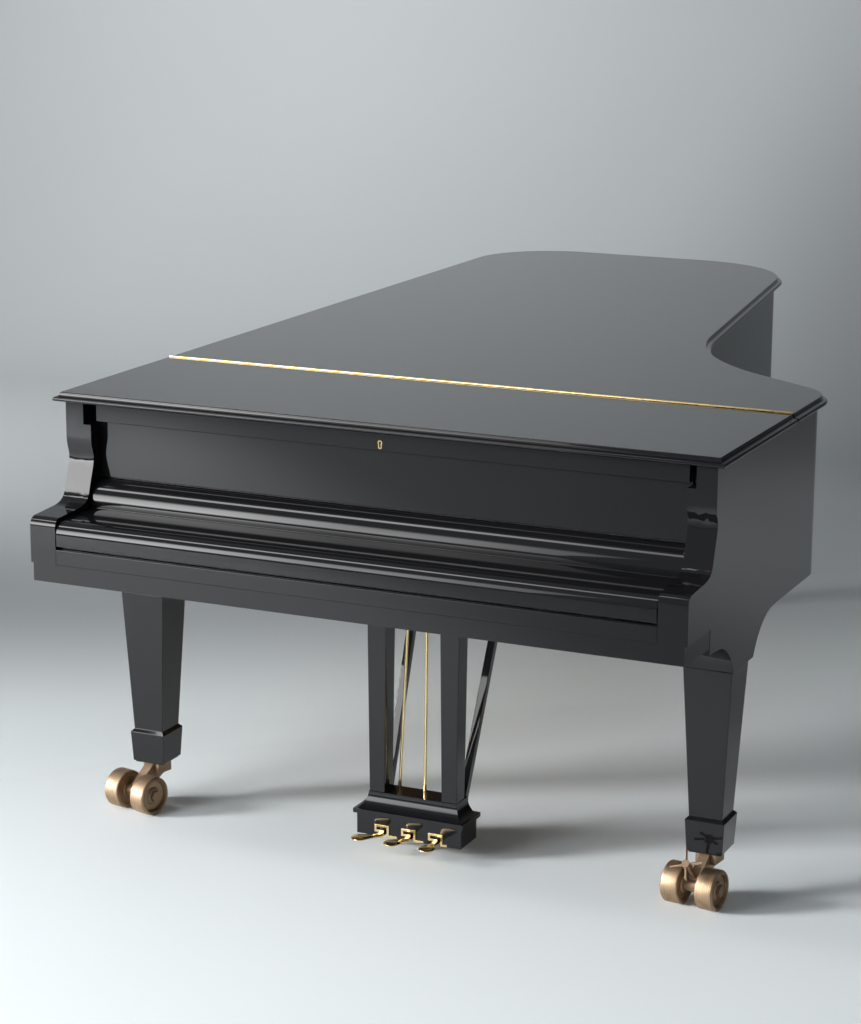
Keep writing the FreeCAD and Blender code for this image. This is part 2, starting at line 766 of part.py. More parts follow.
def iron_plate():
    front = box(-ARM_IN + FIT_GAP, ARM_IN - FIT_GAP, PLATE_FRONT, ARM_REAR, BOARD_TOP, PLATE_TOP)
    rear = slab(-RIM_WALL - 2 * FIT_GAP, ARM_REAR, BOARD_TOP, PLATE_TOP)
    capo = box(-KEYS_HALF, KEYS_HALF, CAPO_Y[0], CAPO_Y[1], PLATE_TOP, TREBLE_BRIDGE_TOP)
    bass_end = note_places()[BASS_NOTES][0] - KEY_PITCH / 2
    bass_capo = box(-KEYS_HALF, bass_end, CAPO_Y[0], CAPO_Y[1], PLATE_TOP, BASS_BRIDGE_TOP)
    room = slab(-ARM_THICK - PLATE_RIM / 2, PLATE_OPEN_Y, BOARD_TOP, PLATE_TOP)
    lines = string_lines()
    edge = KEYS_HALF + 2 * KEY_PITCH
    struts = [strut_line(note) for note in STRUT_NOTES]
    bass_side = (V(-edge, PLATE_OPEN_Y, 0), lines[0][1], Y_AXIS)
    treble_side = (V(edge, PLATE_OPEN_Y, 0), lines[-1][1], Y_AXIS)
    sides = [bass_side] + struts + [treble_side]
    bounds = (0,) + STRUT_NOTES + (NOTES - 1,)
    cells = []
    for k, (left, right) in enumerate(zip(sides, sides[1:])):
        ends = [lines[i][1] for i in range(bounds[k], bounds[k + 1] + 1, 4)]
        if k == 0:
            # The bass strings lean across the first bar, so this opening has only four corners.
            ends = ends[:1]
        cells.append(plate_cell(left, right, ends))
    bars = [strut_bar(start, end, way, BASS_STRUT_TALL if note == BASS_NOTES else STRUT_TALL)
            for note, (start, end, way) in zip(STRUT_NOTES, struts)]
    plate = fuse([front, rear]).cut(group([cell.common(room) for cell in cells]))
    plate = cut_all(plate, pin_holes(BOARD_TOP - 1, PLATE_TOP + 1))
    break_x = struts[0][0].x
    damper_gap = box(break_x - KEY_PITCH, break_x + KEY_PITCH, PLATE_OPEN_Y, DAMPER_Y + DAMPER_LONG,
                     BOARD_TOP - 1, PLATE_TOP + STRUT_TALL)
    # The other bars arch over the hammers that swing up beside them.
    arches = [box(start.x - KEY_PITCH, start.x + KEY_PITCH, PLATE_OPEN_Y, STRIKE_REAR, BOARD_TOP - 1,
                  STRING_Z + STRIKE_ROOM) for start, end, way in struts[1:]]
    return fuse([plate, capo, bass_capo] + bars).cut([damper_gap, bridge_room()] + arches)


def strut_bar(start, end, way, tall):
    across = V(way.y, -way.x, 0) * (STRUT_WIDE / 2)
    begin = V(start.x, start.y, 0) - way * ((start.y - CAPO_Y[1]) / way.y)
    finish = V(begin.x, begin.y, 0) + way * ((end.y - begin.y) / way.y + STRING_TAIL)
    ring = [begin - across, finish - across, finish + across, begin + across, begin - across]
    face = Part.Face(Part.makePolygon([V(p.x, p.y, PLATE_TOP) for p in ring]))
    return face.extrude(V(0, 0, tall))


def plate_cell(left, right, ends):
    """An opening of the plate between two struts, ending behind the strings' bridge."""
    low = BOARD_TOP - 1
    half = V(STRUT_WIDE / 2, 0, 0)
    near_left = left[0] + half
    near_right = right[0] - half
    far_left = near_left + left[2] * ((ends[0].y - PLATE_OPEN_Y) / left[2].y)
    far_right = near_right + right[2] * ((ends[-1].y - PLATE_OPEN_Y) / right[2].y)
    points = [near_left, far_left] + ends[1:-1] + [far_right, near_right]
    face = Part.Face(Part.makePolygon([V(p.x, p.y, low) for p in points + points[:1]]))
    return face.extrude(V(0, 0, PLATE_THICK + 2))


# Keys and action

def natural_keys():
    places = note_places()
    sharp_clear = SHARP_WIDE / 2 + KEY_GAP
    keys = []
    for x, natural in places:
        if not natural:
            continue
        half = (KEY_PITCH - KEY_GAP) / 2
        head = box(x - half, x + half, KEY_FRONT, KEY_REAR, KEY_BOTTOM, KEY_TOP)
        stick = box(x - NATURAL_STICK / 2, x + NATURAL_STICK / 2, KEY_REAR, STICK_REAR,
                    KEY_BOTTOM, STICK_TOP)
        slots = [box(s - sharp_clear, s + sharp_clear, KEY_REAR - SHARP_LONG - KEY_GAP, KEY_REAR + 1,
                     KEY_BOTTOM - 1, KEY_TOP + 1)
                 for s, other in places if not other and abs(s - x) < KEY_PITCH]
        keys.append(cut_all(fuse([head, stick]), slots) if slots else fuse([head, stick]))
    return group([solid for key in keys for solid in key.Solids])


def sharp_keys():
    keys = []
    for x, natural in note_places():
        if natural:
            continue
        half = SHARP_WIDE / 2
        stick = box(x - SHARP_STICK / 2, x + SHARP_STICK / 2, KEY_REAR, STICK_REAR, KEY_BOTTOM, STICK_TOP)
        body = box(x - half, x + half, KEY_REAR - SHARP_LONG, KEY_REAR, KEY_BOTTOM, KEY_TOP)
        ridge = frustum(x, KEY_REAR - SHARP_LONG / 2, KEY_TOP, SHARP_WIDE, SHARP_LONG,
                        KEY_TOP + SHARP_RISE, SHARP_WIDE - 2 * SHARP_TAPER, SHARP_LONG - 4 * SHARP_TAPER)
        keys.append(fuse([stick, body, ridge]))
    return group(keys)


def bracket_places():
    """Gaps between neighbouring naturals that have no sharp between them."""
    xs = [x for x, natural in note_places()]
    wide = [(a + b) / 2 for a, b in zip(xs, xs[1:]) if b - a > 0.9 * KEY_PITCH]
    step = (len(wide) - 1) // (FRAME_BARS - 1)
    return wide[::step][:FRAME_BARS]


def key_frame():
    half = KEYS_HALF - KEY_GAP
    low = KEYBED_TOP + FIT_GAP
    rails = [box(-half, half, y0, y1, low, low + FRAME_RAIL_TALL)
             for y0, y1 in (FRONT_RAIL, BALANCE_RAIL, BACK_RAIL)]
    rails.append(box(-half, half, BALANCE_Y - BALANCE_RIDGE / 2, BALANCE_Y + BALANCE_RIDGE / 2,
                     low, KEY_BOTTOM - FIT_GAP))
    rails.append(box(-half, half, STICK_REAR - BALANCE_RIDGE, BACK_RAIL[1], low, KEY_BOTTOM - FIT_GAP))
    for x in bracket_places():
        rails.append(box(x - FRAME_BAR_WIDE / 2, x + FRAME_BAR_WIDE / 2, FRONT_RAIL[0], BACK_RAIL[1],
                         low, low + FRAME_RAIL_TALL))
    return fuse(rails)


def action_stack():
    half = KEYS_HALF - KEY_GAP
    rail_top = HAMMER_PIVOT_Z - BUTT_HAMMER_RADIUS * 2
    rail = box(-half, half, HAMMER_RAIL[0], HAMMER_RAIL[1], rail_top - HAMMER_RAIL_TALL, rail_top)
    pin = rod_x(-half, half, HAMMER_PIVOT_Y, HAMMER_PIVOT_Z, CENTRE_PIN_RADIUS)
    pieces = [rail, pin]
    low = KEYBED_TOP + FIT_GAP + FRAME_RAIL_TALL
    high = HAMMER_PIVOT_Z + BUTT_HAMMER_RADIUS
    for x in bracket_places():
        side = [(HAMMER_RAIL[0], rail_top), (HAMMER_RAIL[0], low), (BACK_RAIL[0] - SIDE_GAP, low),
                (HAMMER_PIVOT_Y + BUTT_HAMMER_RADIUS, high), (HAMMER_PIVOT_Y - BUTT_HAMMER_RADIUS, high)]
        pieces.append(prism_x(side, x - BRACKET_THICK / 2, x + BRACKET_THICK / 2))
    return fuse(pieces)


def hammer(x):
    butt = rod_x(x - HAMMER_WIDE / 2, x + HAMMER_WIDE / 2, HAMMER_PIVOT_Y, HAMMER_PIVOT_Z,
                 BUTT_HAMMER_RADIUS)
    head_y = HAMMER_PIVOT_Y + HAMMER_LONG
    shank = rod(V(x, HAMMER_PIVOT_Y, HAMMER_PIVOT_Z), V(x, head_y, HAMMER_PIVOT_Z), SHANK_RADIUS)
    low = HAMMER_PIVOT_Z - SHANK_RADIUS * 2
    felt_z = low + HAMMER_TALL - HAMMER_DEEP / 2
    head = prism_x([(head_y - HAMMER_DEEP / 4, low), (head_y + HAMMER_DEEP / 4, low),
                    (head_y + HAMMER_DEEP / 2, felt_z), (head_y - HAMMER_DEEP / 2, felt_z)],
                   x - HAMMER_WIDE / 2, x + HAMMER_WIDE / 2)
    felt = rod_x(x - HAMMER_WIDE / 2, x + HAMMER_WIDE / 2, head_y, felt_z, HAMMER_DEEP / 2)
    bore = rod_x(x - HAMMER_WIDE, x + HAMMER_WIDE, HAMMER_PIVOT_Y, HAMMER_PIVOT_Z,
                 CENTRE_PIN_RADIUS + PIN_CLEAR)
    solid = fuse([butt, shank, head, felt]).cut(bore)
    solid.rotate(V(x, HAMMER_PIVOT_Y, HAMMER_PIVOT_Z), X_AXIS, -HAMMER_REST)
    return solid


def hammers(kind):
    return group([hammer(x) for x, natural in note_places() if natural == kind])


def dampers():
    """One head and wire per damped note, on a common lifting tray."""
    pieces = []
    places = note_places()
    for i, (start, end, way) in enumerate(string_lines()[:DAMPERS]):
        radius = COPPER_RADIUS if i < BASS_NOTES else STEEL_RADIUS
        x = start.x + way.x / way.y * (DAMPER_Y - start.y)
        low = start.z + radius + STRING_CLEAR
        half = DAMPER_WIDE / 2
        head = box(x - half, x + half, DAMPER_Y - DAMPER_LONG / 2, DAMPER_Y + DAMPER_LONG / 2,
                   low, low + DAMPER_TALL)
        wire_x = x + (half - DAMPER_WIRE) * (-1 if i < BASS_NOTES else 1)
        wire = rod(V(wire_x, DAMPER_Y, DAMPER_TRAY_Z[1]), V(wire_x, DAMPER_Y, low + DAMPER_TALL / 2),
                   DAMPER_WIRE)
        pieces.append(fuse([head, wire]))
    reach = places[DAMPERS][0] + KEY_PITCH
    pieces.append(box(-KEYS_HALF - KEY_PITCH, reach, DAMPER_TRAY_Y[0], DAMPER_TRAY_Y[1],
                      DAMPER_TRAY_Z[0], DAMPER_TRAY_Z[1]))
    return group(pieces)


# Lid and front

def lid():
    lip = slab(LID_OVERHANG, LID_FRONT_Y, LID_BOTTOM, LID_BOTTOM + LIP_THICK)
    top = slab(LID_EDGE, LID_FRONT_Y + LIP_STEP, LID_BOTTOM + LIP_THICK, LID_TOP)
    return fuse([lip, top])


def lid_part(y0, y1, leaf_y):
    half = CASE_HALF + LID_OVERHANG
    piece = lid().common(box(-half, half, y0, y1, LID_BOTTOM, LID_TOP))
    end = CASE_HALF + LID_EDGE - FOLD_END_INSET + FIT_GAP
    recess = box(-end, end, leaf_y[0], leaf_y[1], LID_TOP - FOLD_LEAF_THICK, LID_TOP)
    return piece.cut(recess)


def lid_main():
    return lid_part(FOLD_Y + FOLD_GAP, LENGTH, (FOLD_Y, FOLD_Y + FOLD_LEAF_WIDE + FIT_GAP))


def lid_front():
    return lid_part(LID_FRONT_Y, FOLD_Y - FOLD_GAP, (FOLD_Y - FOLD_LEAF_WIDE - FIT_GAP, FOLD_Y))


def fold_hinge(side, odd):
    """One leaf of the long brass hinge, with every second knuckle."""
    end = CASE_HALF + LID_EDGE - FOLD_END_INSET
    inner = FOLD_Y + side * (KNUCKLE_RADIUS + KNUCKLE_GAP)
    outer = FOLD_Y + side * FOLD_LEAF_WIDE
    leaf = box(-end, end, min(inner, outer), max(inner, outer), LID_TOP - FOLD_LEAF_THICK, LID_TOP)
    count = int(2 * end / KNUCKLE_PITCH)
    step = 2 * end / count
    pieces = [leaf]
    for i in range(count):
        if i % 2 != odd:
            continue
        x0 = -end + i * step + KNUCKLE_GAP / 2
        x1 = x0 + step - KNUCKLE_GAP
        pieces.append(rod_x(x0, x1, FOLD_Y, FOLD_Z, KNUCKLE_RADIUS))
        pieces.append(box(x0, x1, min(FOLD_Y, inner), max(FOLD_Y, inner),
                          LID_TOP - FOLD_LEAF_THICK, LID_TOP))
    joined = fuse(pieces)
    if odd:
        return joined.cut(rod_x(-end, end, FOLD_Y, FOLD_Z, BUTT_PIN_RADIUS + PIN_CLEAR))
    return fuse([joined, rod_x(-end + KNUCKLE_GAP, end - KNUCKLE_GAP, FOLD_Y, FOLD_Z, BUTT_PIN_RADIUS)])


def butt_hinges(upper):
    """One half of every bass-side hinge: three knuckles below, two above."""
    halves = []
    step = BUTT_LONG / 5
    z0 = LID_BOTTOM - BUTT_LEAF_THICK if upper else RIM_TOP
    inner = -CASE_HALF - FIT_GAP
    for y in BUTT_PLACES:
        pieces = [box(inner, inner + BUTT_LEAF_WIDE, y - BUTT_LONG / 2, y + BUTT_LONG / 2,
                      z0, z0 + BUTT_LEAF_THICK)]
        for i in range(5):
            if (i % 2 == 1) != upper:
                continue
            y0 = y - BUTT_LONG / 2 + i * step + KNUCKLE_GAP / 2
            y1 = y0 + step - KNUCKLE_GAP
            pieces.append(rod(V(BUTT_X, y0, BUTT_Z), V(BUTT_X, y1, BUTT_Z), BUTT_RADIUS))
            low = min(z0, RIM_TOP - BUTT_LEAF_THICK)
            pieces.append(box(BUTT_X, inner, y0, y1, low, z0 + BUTT_LEAF_THICK))
        pin_radius = BUTT_PIN_RADIUS + (PIN_CLEAR if upper else 0)
        pin = rod(V(BUTT_X, y - BUTT_LONG / 2, BUTT_Z), V(BUTT_X, y + BUTT_LONG / 2, BUTT_Z), pin_radius)
        joined = fuse(pieces)
        halves.append(joined.cut(pin) if upper else fuse([joined, pin]))
    return group([solid for half in halves for solid in half.Solids])


def lid_bumpers():
    inset = RIM_WALL / 2
    bass_tail, treble_tail, hollow, cheek = outline_centres()
    side = CASE_HALF - inset
    places = [V(-side, LEG_Y, 0), V(side, LEG_Y, 0), V(side, CHEEK_Y, 0),
              on_circle(treble_tail, TREBLE_TAIL_RADIUS - inset, BENT_ANGLE),
              on_circle(bass_tail, BASS_TAIL_RADIUS - inset, 135)]
    return group([Part.makeCylinder(BUMPER_RADIUS, LID_SEAT, V(p.x, p.y, RIM_TOP), Z_AXIS) for p in places])


def drop_rail():
    return box(-ARM_IN + SIDE_GAP, ARM_IN - SIDE_GAP, RAIL_FRONT_Y, RAIL_FRONT_Y + RAIL_THICK,
               RAIL_BOTTOM, LID_BOTTOM)


def lock_escutcheon():
    """A brass rim round the keyhole: a round head on a narrower foot with rounded corners."""
    y0 = RAIL_FRONT_Y - LOCK_THICK
    low = LOCK_Z - LOCK_TALL / 2
    eye = LOCK_Z + LOCK_TALL / 2 - LOCK_HEAD
    foot = box(LOCK_X - LOCK_WIDE / 2, LOCK_X + LOCK_WIDE / 2, y0, RAIL_FRONT_Y, low, eye)
    corners = [edge for edge in foot.Edges
               if abs(edge.CenterOfMass.z - low) < FIT_GAP and abs(edge.CenterOfMass.x - LOCK_X) > FIT_GAP]
    foot = foot.makeFillet(LOCK_CORNER, corners)
    head = rod(V(LOCK_X, y0, eye), V(LOCK_X, RAIL_FRONT_Y, eye), LOCK_HEAD)
    hole = rod(V(LOCK_X, 0, eye), V(LOCK_X, RAIL_FRONT_Y, eye), KEYHOLE_RADIUS)
    slot = box(LOCK_X - KEYHOLE_SLOT / 2, LOCK_X + KEYHOLE_SLOT / 2, 0, RAIL_FRONT_Y,
               low + KEYHOLE_FOOT, eye)
    return fuse([foot, head]).cut([hole, slot])


def fallboard():
    half = ARM_IN - SIDE_GAP
    x = -half
    nose = FALL_TOP_FRONT - FALL_LIP_TOP
    bend = FALL_NOSE * (1 - math.sqrt(0.5))
    bend_z = FALL_TOP_FRONT - nose * (1 - math.sqrt(0.5))
    rear_y = ROLL_Y - ROLL_RADIUS + FALL_THICK
    edges = [
        line(V(x, 0, FALL_LIP_BOTTOM), V(x, 0, FALL_LIP_TOP)),
        arc(V(x, 0, FALL_LIP_TOP), V(x, bend, bend_z), V(x, FALL_NOSE, FALL_TOP_FRONT)),
        line(V(x, FALL_NOSE, FALL_TOP_FRONT), V(x, rear_y, FALL_TOP_REAR)),
        line(V(x, rear_y, FALL_TOP_REAR), V(x, rear_y, FALL_TOP_REAR - FALL_THICK)),
        line(V(x, rear_y, FALL_TOP_REAR - FALL_THICK), V(x, FALL_LIP_THICK, FALL_TOP_FRONT - FALL_THICK)),
        line(V(x, FALL_LIP_THICK, FALL_TOP_FRONT - FALL_THICK), V(x, FALL_LIP_THICK, FALL_LIP_BOTTOM)),
        line(V(x, FALL_LIP_THICK, FALL_LIP_BOTTOM), V(x, 0, FALL_LIP_BOTTOM)),
    ]
    board = Part.Face(Part.Wire(edges)).extrude(V(2 * half, 0, 0))
    reach = 2 * ROLL_RADIUS
    wedge = prism_x([(ROLL_Y, ROLL_Z), (ROLL_Y - reach, ROLL_Z - reach * ROLL_LOW),
                     (ROLL_Y - reach, ROLL_Z + reach), (ROLL_Y + reach * ROLL_BACK, ROLL_Z + reach)],
                    -half, half)
    cheek = half - FALL_CHEEK
    roll = rod_x(-half, half, ROLL_Y, ROLL_Z, ROLL_RADIUS).common(wedge)
    roll = roll.cut(rod_x(-cheek, cheek, ROLL_Y, ROLL_Z, ROLL_RADIUS - FALL_THICK))
    boss = rod_x(cheek, half, ROLL_Y, ROLL_Z, FALL_BOSS_RADIUS)
    pin = rod_x(cheek, ARM_IN + FALL_PIN_LONG, ROLL_Y, ROLL_Z, FALL_PIN_RADIUS)
    return fuse([board, roll, boss, pin, mirror_x(boss), mirror_x(pin)])


def music_tray():
    return box(-ARM_IN + SIDE_GAP, ARM_IN - SIDE_GAP, NAMEBOARD_Y, TRAY_REAR,
               TRAY_BOTTOM, TRAY_BOTTOM + TRAY_THICK)


def music_desk():
    low = TRAY_BOTTOM + TRAY_THICK + DESK_LIFT
    return box(-DESK_HALF, DESK_HALF, DESK_FRONT, DESK_FRONT + DESK_DEEP, low, low + DESK_THICK)


def prop_stick():
    start = prop_pivot()
    way = prop_direction()
    stick = rod(start - way * PROP_RADIUS, start + way * PROP_LONG, PROP_RADIUS)
    return fuse([stick, prop_pin(PROP_PIN_RADIUS, 0)])


# Legs and casters

def leg_block(side):
    x0 = LEG_X - BRACKET_WIDE / 2
    x1 = LEG_X + BRACKET_WIDE / 2

    def cove(low_y, high_y):
        top = RIM_BOTTOM - COVE_LIP
        mid_y = low_y + (high_y - low_y) * COVE_FULL
        mid_z = top - (top - LEG_TOP) * COVE_FULL
        return arc(V(x0, low_y, LEG_TOP), V(x0, mid_y, mid_z), V(x0, high_y, top)), V(x0, high_y, top)

    front, front_top = cove(BRACKET_FRONT[0], BRACKET_COVE_FRONT)
    rear, rear_top = cove(BRACKET_FRONT[1], BRACKET_COVE_REAR)
    edges = [
        line(V(x0, BRACKET_FRONT[0], LEG_TOP), V(x0, BRACKET_FRONT[1], LEG_TOP)),
        rear,
        line(rear_top, V(x0, BRACKET_COVE_REAR, RIM_BOTTOM)),
        line(V(x0, BRACKET_COVE_REAR, RIM_BOTTOM), V(x0, BRACKET_COVE_FRONT, RIM_BOTTOM)),
        line(V(x0, BRACKET_COVE_FRONT, RIM_BOTTOM), front_top),
        front,
    ]
    block = Part.Face(Part.Wire(Part.sortEdges(edges)[0])).extrude(V(x1 - x0, 0, 0))
    pad = box(x0, ARM_IN - FIT_GAP, BRACKET_COVE_FRONT, BRACKET_COVE_REAR, RIM_BOTTOM, KEYBED_BOTTOM)
    solid = fuse([block, pad])
    return solid if side > 0 else mirror_x(solid)


def leg_blocks():
    half = TAIL_BLOCK_WIDE / 2
    tail = box(TAIL_LEG_X - half, TAIL_LEG_X + half, TAIL_LEG_Y - half, TAIL_LEG_Y + half,
               LEG_TOP, RIM_BOTTOM)
    return group([leg_block(-1), leg_block(1), tail])


LEG_PLACES = {"bass": (-LEG_X, LEG_Y), "treble": (LEG_X, LEG_Y), "tail": (TAIL_LEG_X, TAIL_LEG_Y)}


def leg(name):
    x, y = LEG_PLACES[name]
    shaft = frustum(x, y, SHAFT_FOOT_Z, SHAFT_FOOT_WIDE, SHAFT_FOOT_WIDE,
                    LEG_TOP, LEG_TOP_WIDE, LEG_TOP_WIDE)
    shoulder = frustum(x, y, FOOT_TOP, FOOT_TOP_WIDE, FOOT_TOP_WIDE,
                       SHAFT_FOOT_Z, SHAFT_FOOT_WIDE, SHAFT_FOOT_WIDE)
    foot = frustum(x, y, FOOT_BOTTOM, FOOT_BOTTOM_WIDE, FOOT_BOTTOM_WIDE,
                   FOOT_TOP, FOOT_TOP_WIDE, FOOT_TOP_WIDE)
    plate_half = FOOT_BOTTOM_WIDE / 2 - PLATE_CASTER
    plate = box(x - plate_half, x + plate_half, y - plate_half, y + plate_half,
                FOOT_BOTTOM - PLATE_CASTER, FOOT_BOTTOM)
    bore = Part.makeCylinder(STEM_RADIUS + PIN_CLEAR, STEM_LONG + PLATE_CASTER + FIT_GAP,
                             V(x, y, FOOT_BOTTOM - PLATE_CASTER), Z_AXIS)
    return fuse([shaft, shoulder, foot, plate]).cut(bore)


def place_caster(shape, name):
    x, y = LEG_PLACES[name]
    shape.rotate(V(0, 0, 0), Z_AXIS, CASTER_YAW[name])
    shape.translate(V(x, y, 0))
    return shape


def hex_nut(x0, x1):
    radius = NUT_FLATS / math.sqrt(3)
    points = [(-CASTER_TRAIL + radius * math.cos(math.radians(60 * i)),
               WHEEL_RADIUS + radius * math.sin(math.radians(60 * i))) for i in range(6)]
    return prism_x(points, x0, x1)


def caster_fork(name):
    """Stem and square crown under the foot, a web down to the axle, and a nut outside each wheel."""
    top = FOOT_BOTTOM - PLATE_CASTER - FIT_GAP
    stem = Part.makeCylinder(STEM_RADIUS, STEM_LONG + FIT_GAP, V(0, 0, top), Z_AXIS)
    deep = CROWN_DEEP / 2
    crown = box(-CROWN_WIDE / 2, CROWN_WIDE / 2, -deep, deep, top - CROWN_TALL, top)
    half = WEB_THICK / 2
    boss = AXLE_RADIUS * 1.6
    web = prism_x([(deep, top), (-deep, top), (-CASTER_TRAIL, WHEEL_RADIUS + boss * 1.3),
                   (-CASTER_TRAIL - boss, WHEEL_RADIUS), (-CASTER_TRAIL, WHEEL_RADIUS - boss),
                   (deep, top - CROWN_TALL)], -half, half)
    reach = WHEEL_SPACE / 2 + WHEEL_WIDE / 2
    nut_in = reach - HUB_INSET + FIT_GAP
    axle = rod_x(-nut_in - NUT_THICK, nut_in + NUT_THICK, -CASTER_TRAIL, WHEEL_RADIUS, AXLE_RADIUS)
    spacer_out = WHEEL_SPACE / 2 - WHEEL_WIDE / 2 - FIT_GAP
    spacer = rod_x(-spacer_out, spacer_out, -CASTER_TRAIL, WHEEL_RADIUS, boss)
    nut = hex_nut(nut_in, nut_in + NUT_THICK)
    pieces = [stem, crown, web, axle, spacer, nut, mirror_x(nut)]
    solid = fuse(pieces)
    if name == "treble":
        solid = solid.cut(brake_rod(BRAKE_RADIUS + PIN_CLEAR, FIT_GAP))
    return place_caster(solid, name)


def brake_axis():
    tilt = math.radians(BRAKE_TILT)
    way = V(0, -math.sin(tilt), math.cos(tilt))
    foot = V(0, -CASTER_TRAIL + AXLE_RADIUS * 0.9, WHEEL_RADIUS + AXLE_RADIUS * 1.2)
    return foot, way


def brake_rod(radius, deeper):
    foot, way = brake_axis()
    return rod(foot - way * deeper, foot + way * BRAKE_LONG, radius)


def brake_screw():
    foot, way = brake_axis()
    hub_at = foot + way * BRAKE_LONG
    hub = rod(hub_at - way * BRAKE_HUB, hub_at + way * (BRAKE_HUB * 0.7), BRAKE_HUB)
    pieces = [brake_rod(BRAKE_RADIUS, 0), hub]
    across = V(0, way.z, -way.y)
    for i in range(BRAKE_SPOKES):
        turn = 2 * math.pi * i / BRAKE_SPOKES + math.radians(BRAKE_TURN)
        spoke = X_AXIS * math.cos(turn) + across * math.sin(turn)
        tip = hub_at + spoke * BRAKE_SPOKE
        pieces.append(rod(hub_at, tip, BRAKE_RADIUS * 0.8))
    return place_caster(fuse(pieces), "treble")


def caster_wheel(name, side):
    middle = side * WHEEL_SPACE / 2
    x0 = middle - WHEEL_WIDE / 2
    x1 = middle + WHEEL_WIDE / 2
    tread = rod_x(x0, x1, -CASTER_TRAIL, WHEEL_RADIUS, WHEEL_RADIUS)
    round_edges = [edge for edge in tread.Edges if edge.Length > 2 * WHEEL_WIDE]
    tread = tread.makeFillet(WHEEL_EDGE, round_edges)
    bore = rod_x(x0, x1, -CASTER_TRAIL, WHEEL_RADIUS, AXLE_RADIUS + PIN_CLEAR)
    face = x1 if side > 0 else x0
    deep = face - side * WHEEL_DISH
    low, high = min(face, deep), max(face, deep)
    dish = rod_x(low, high, -CASTER_TRAIL, WHEEL_RADIUS, WHEEL_RADIUS - WHEEL_RIM)
    hub_face = face - side * HUB_INSET
    hub = rod_x(min(hub_face, deep), max(hub_face, deep), -CASTER_TRAIL, WHEEL_RADIUS, HUB_RADIUS)
    return place_caster(tread.cut(dish.cut(hub)).cut(bore), name)


# Lyre and pedals

PEDAL_PLACES = {"left": -PEDAL_PITCH, "middle": 0.0, "right": PEDAL_PITCH}


def pedal_rod(name, radius, top):
    """A pedal's pull rod, leaning a little towards the middle on its way up."""
    x = PEDAL_PLACES[name] + ROD_ASIDE
    low = PEDAL_PIVOT_Z + PEDAL_THICK / 2 + FIT_GAP
    way = V(ROD_LEAN[name], 0, ROD_TOP - low)
    start = V(x, ROD_Y, low)
    end = start + way * ((top - low) / (ROD_TOP - low))
    return rod(start, end, radius)


def pull_rod(name):
    """The pull rod with the sleeve of its coupling just above the box."""
    low = pedal_rod(name, ROD_SLEEVE_RADIUS, ROD_SLEEVE[0])
    high = pedal_rod(name, ROD_SLEEVE_RADIUS, ROD_SLEEVE[1])
    return fuse([pedal_rod(name, ROD_RADIUS, ROD_TOP), high.cut(low)])


def pedal_box():
    body = box(-LYRE_HALF, LYRE_HALF, LYRE_FRONT, LYRE_REAR, LYRE_BOTTOM, BOX_TOP)
    mould = box(-LYRE_HALF - MOULD_OUT, LYRE_HALF + MOULD_OUT, LYRE_FRONT - MOULD_OUT, LYRE_REAR + MOULD_OUT,
                BOX_TOP, MOULD_TOP)
    room = box(-LYRE_HALF + BOX_WALL, LYRE_HALF - BOX_WALL, LYRE_FRONT + BOX_WALL, LYRE_REAR - BOX_WALL / 2,
               LYRE_BOTTOM, BOX_TOP - BOX_ROOF)
    slots = []
    for x in PEDAL_PLACES.values():
        half = PEDAL_SHANK / 2 + SLOT_SIDE
        slots.append(box(x - half, x + half, LYRE_FRONT, LYRE_FRONT + BOX_WALL, LYRE_BOTTOM, SLOT_TOP))
    holes = [pedal_rod(name, ROD_HOLE, KEYBED_BOTTOM) for name in PEDAL_PLACES]
    hollow = fuse([body, mould, cavetto()]).cut(group([fuse([room] + slots)] + holes))
    pin_half = LYRE_HALF - BOX_WALL / 2
    pin = rod_x(-pin_half, pin_half, PEDAL_PIVOT_Y, PEDAL_PIVOT_Z, PEDAL_PIN_RADIUS)
    return fuse([hollow, pin])


def cavetto():
    """Hollow moulding on three sides that narrows from the box up to the pillars' base."""
    rise = CAVETTO_TOP - MOULD_TOP
    radius = (CAVETTO_IN ** 2 + rise ** 2) / (2 * CAVETTO_IN)
    rear = LYRE_REAR - CAVETTO_IN / 4
    block = box(-LYRE_HALF, LYRE_HALF, LYRE_FRONT, rear, MOULD_TOP, CAVETTO_TOP)
    front = rod_x(-2 * LYRE_HALF, 2 * LYRE_HALF, LYRE_FRONT + CAVETTO_IN - radius, CAVETTO_TOP, radius)
    side_x = LYRE_HALF - CAVETTO_IN + radius
    side = rod(V(side_x, 0, CAVETTO_TOP), V(side_x, LYRE_REAR, CAVETTO_TOP), radius)
    return block.cut([front, side, mirror_x(side)])


def lyre_pillars():
    pillar = frustum(PILLAR_X, PILLAR_Y, CAVETTO_TOP, PILLAR_FOOT[0], PILLAR_FOOT[1],
                     KEYBED_BOTTOM, PILLAR_TOP[0], PILLAR_TOP[1])
    return group([pillar, mirror_x(pillar)])


def lyre_braces():
    """Two struts from the rear of the box up to the keybed, spreading a little towards the top."""
    near = LYRE_REAR - CAVETTO_IN / 4
    half = LYRE_BRACE_WIDE / 2
    rings = []
    ends = ((LYRE_BRACE_X, near, LYRE_BRACE_FOOT_Z), (LYRE_BRACE_TOP_X, LYRE_BRACE_TOP_Y, KEYBED_BOTTOM))
    for x, y, z in ends:
        corners = [(-half, 0), (half, 0), (half, LYRE_BRACE_DEEP), (-half, LYRE_BRACE_DEEP), (-half, 0)]
        rings.append(Part.makePolygon([V(x + i, y + j, z) for i, j in corners]))
    foot = box(LYRE_BRACE_X - half, LYRE_BRACE_X + half, near, near + LYRE_BRACE_DEEP,
               MOULD_TOP, LYRE_BRACE_FOOT_Z)
    brace = fuse([Part.makeLoft(rings, True, True), foot])
    return group([brace, mirror_x(brace)])


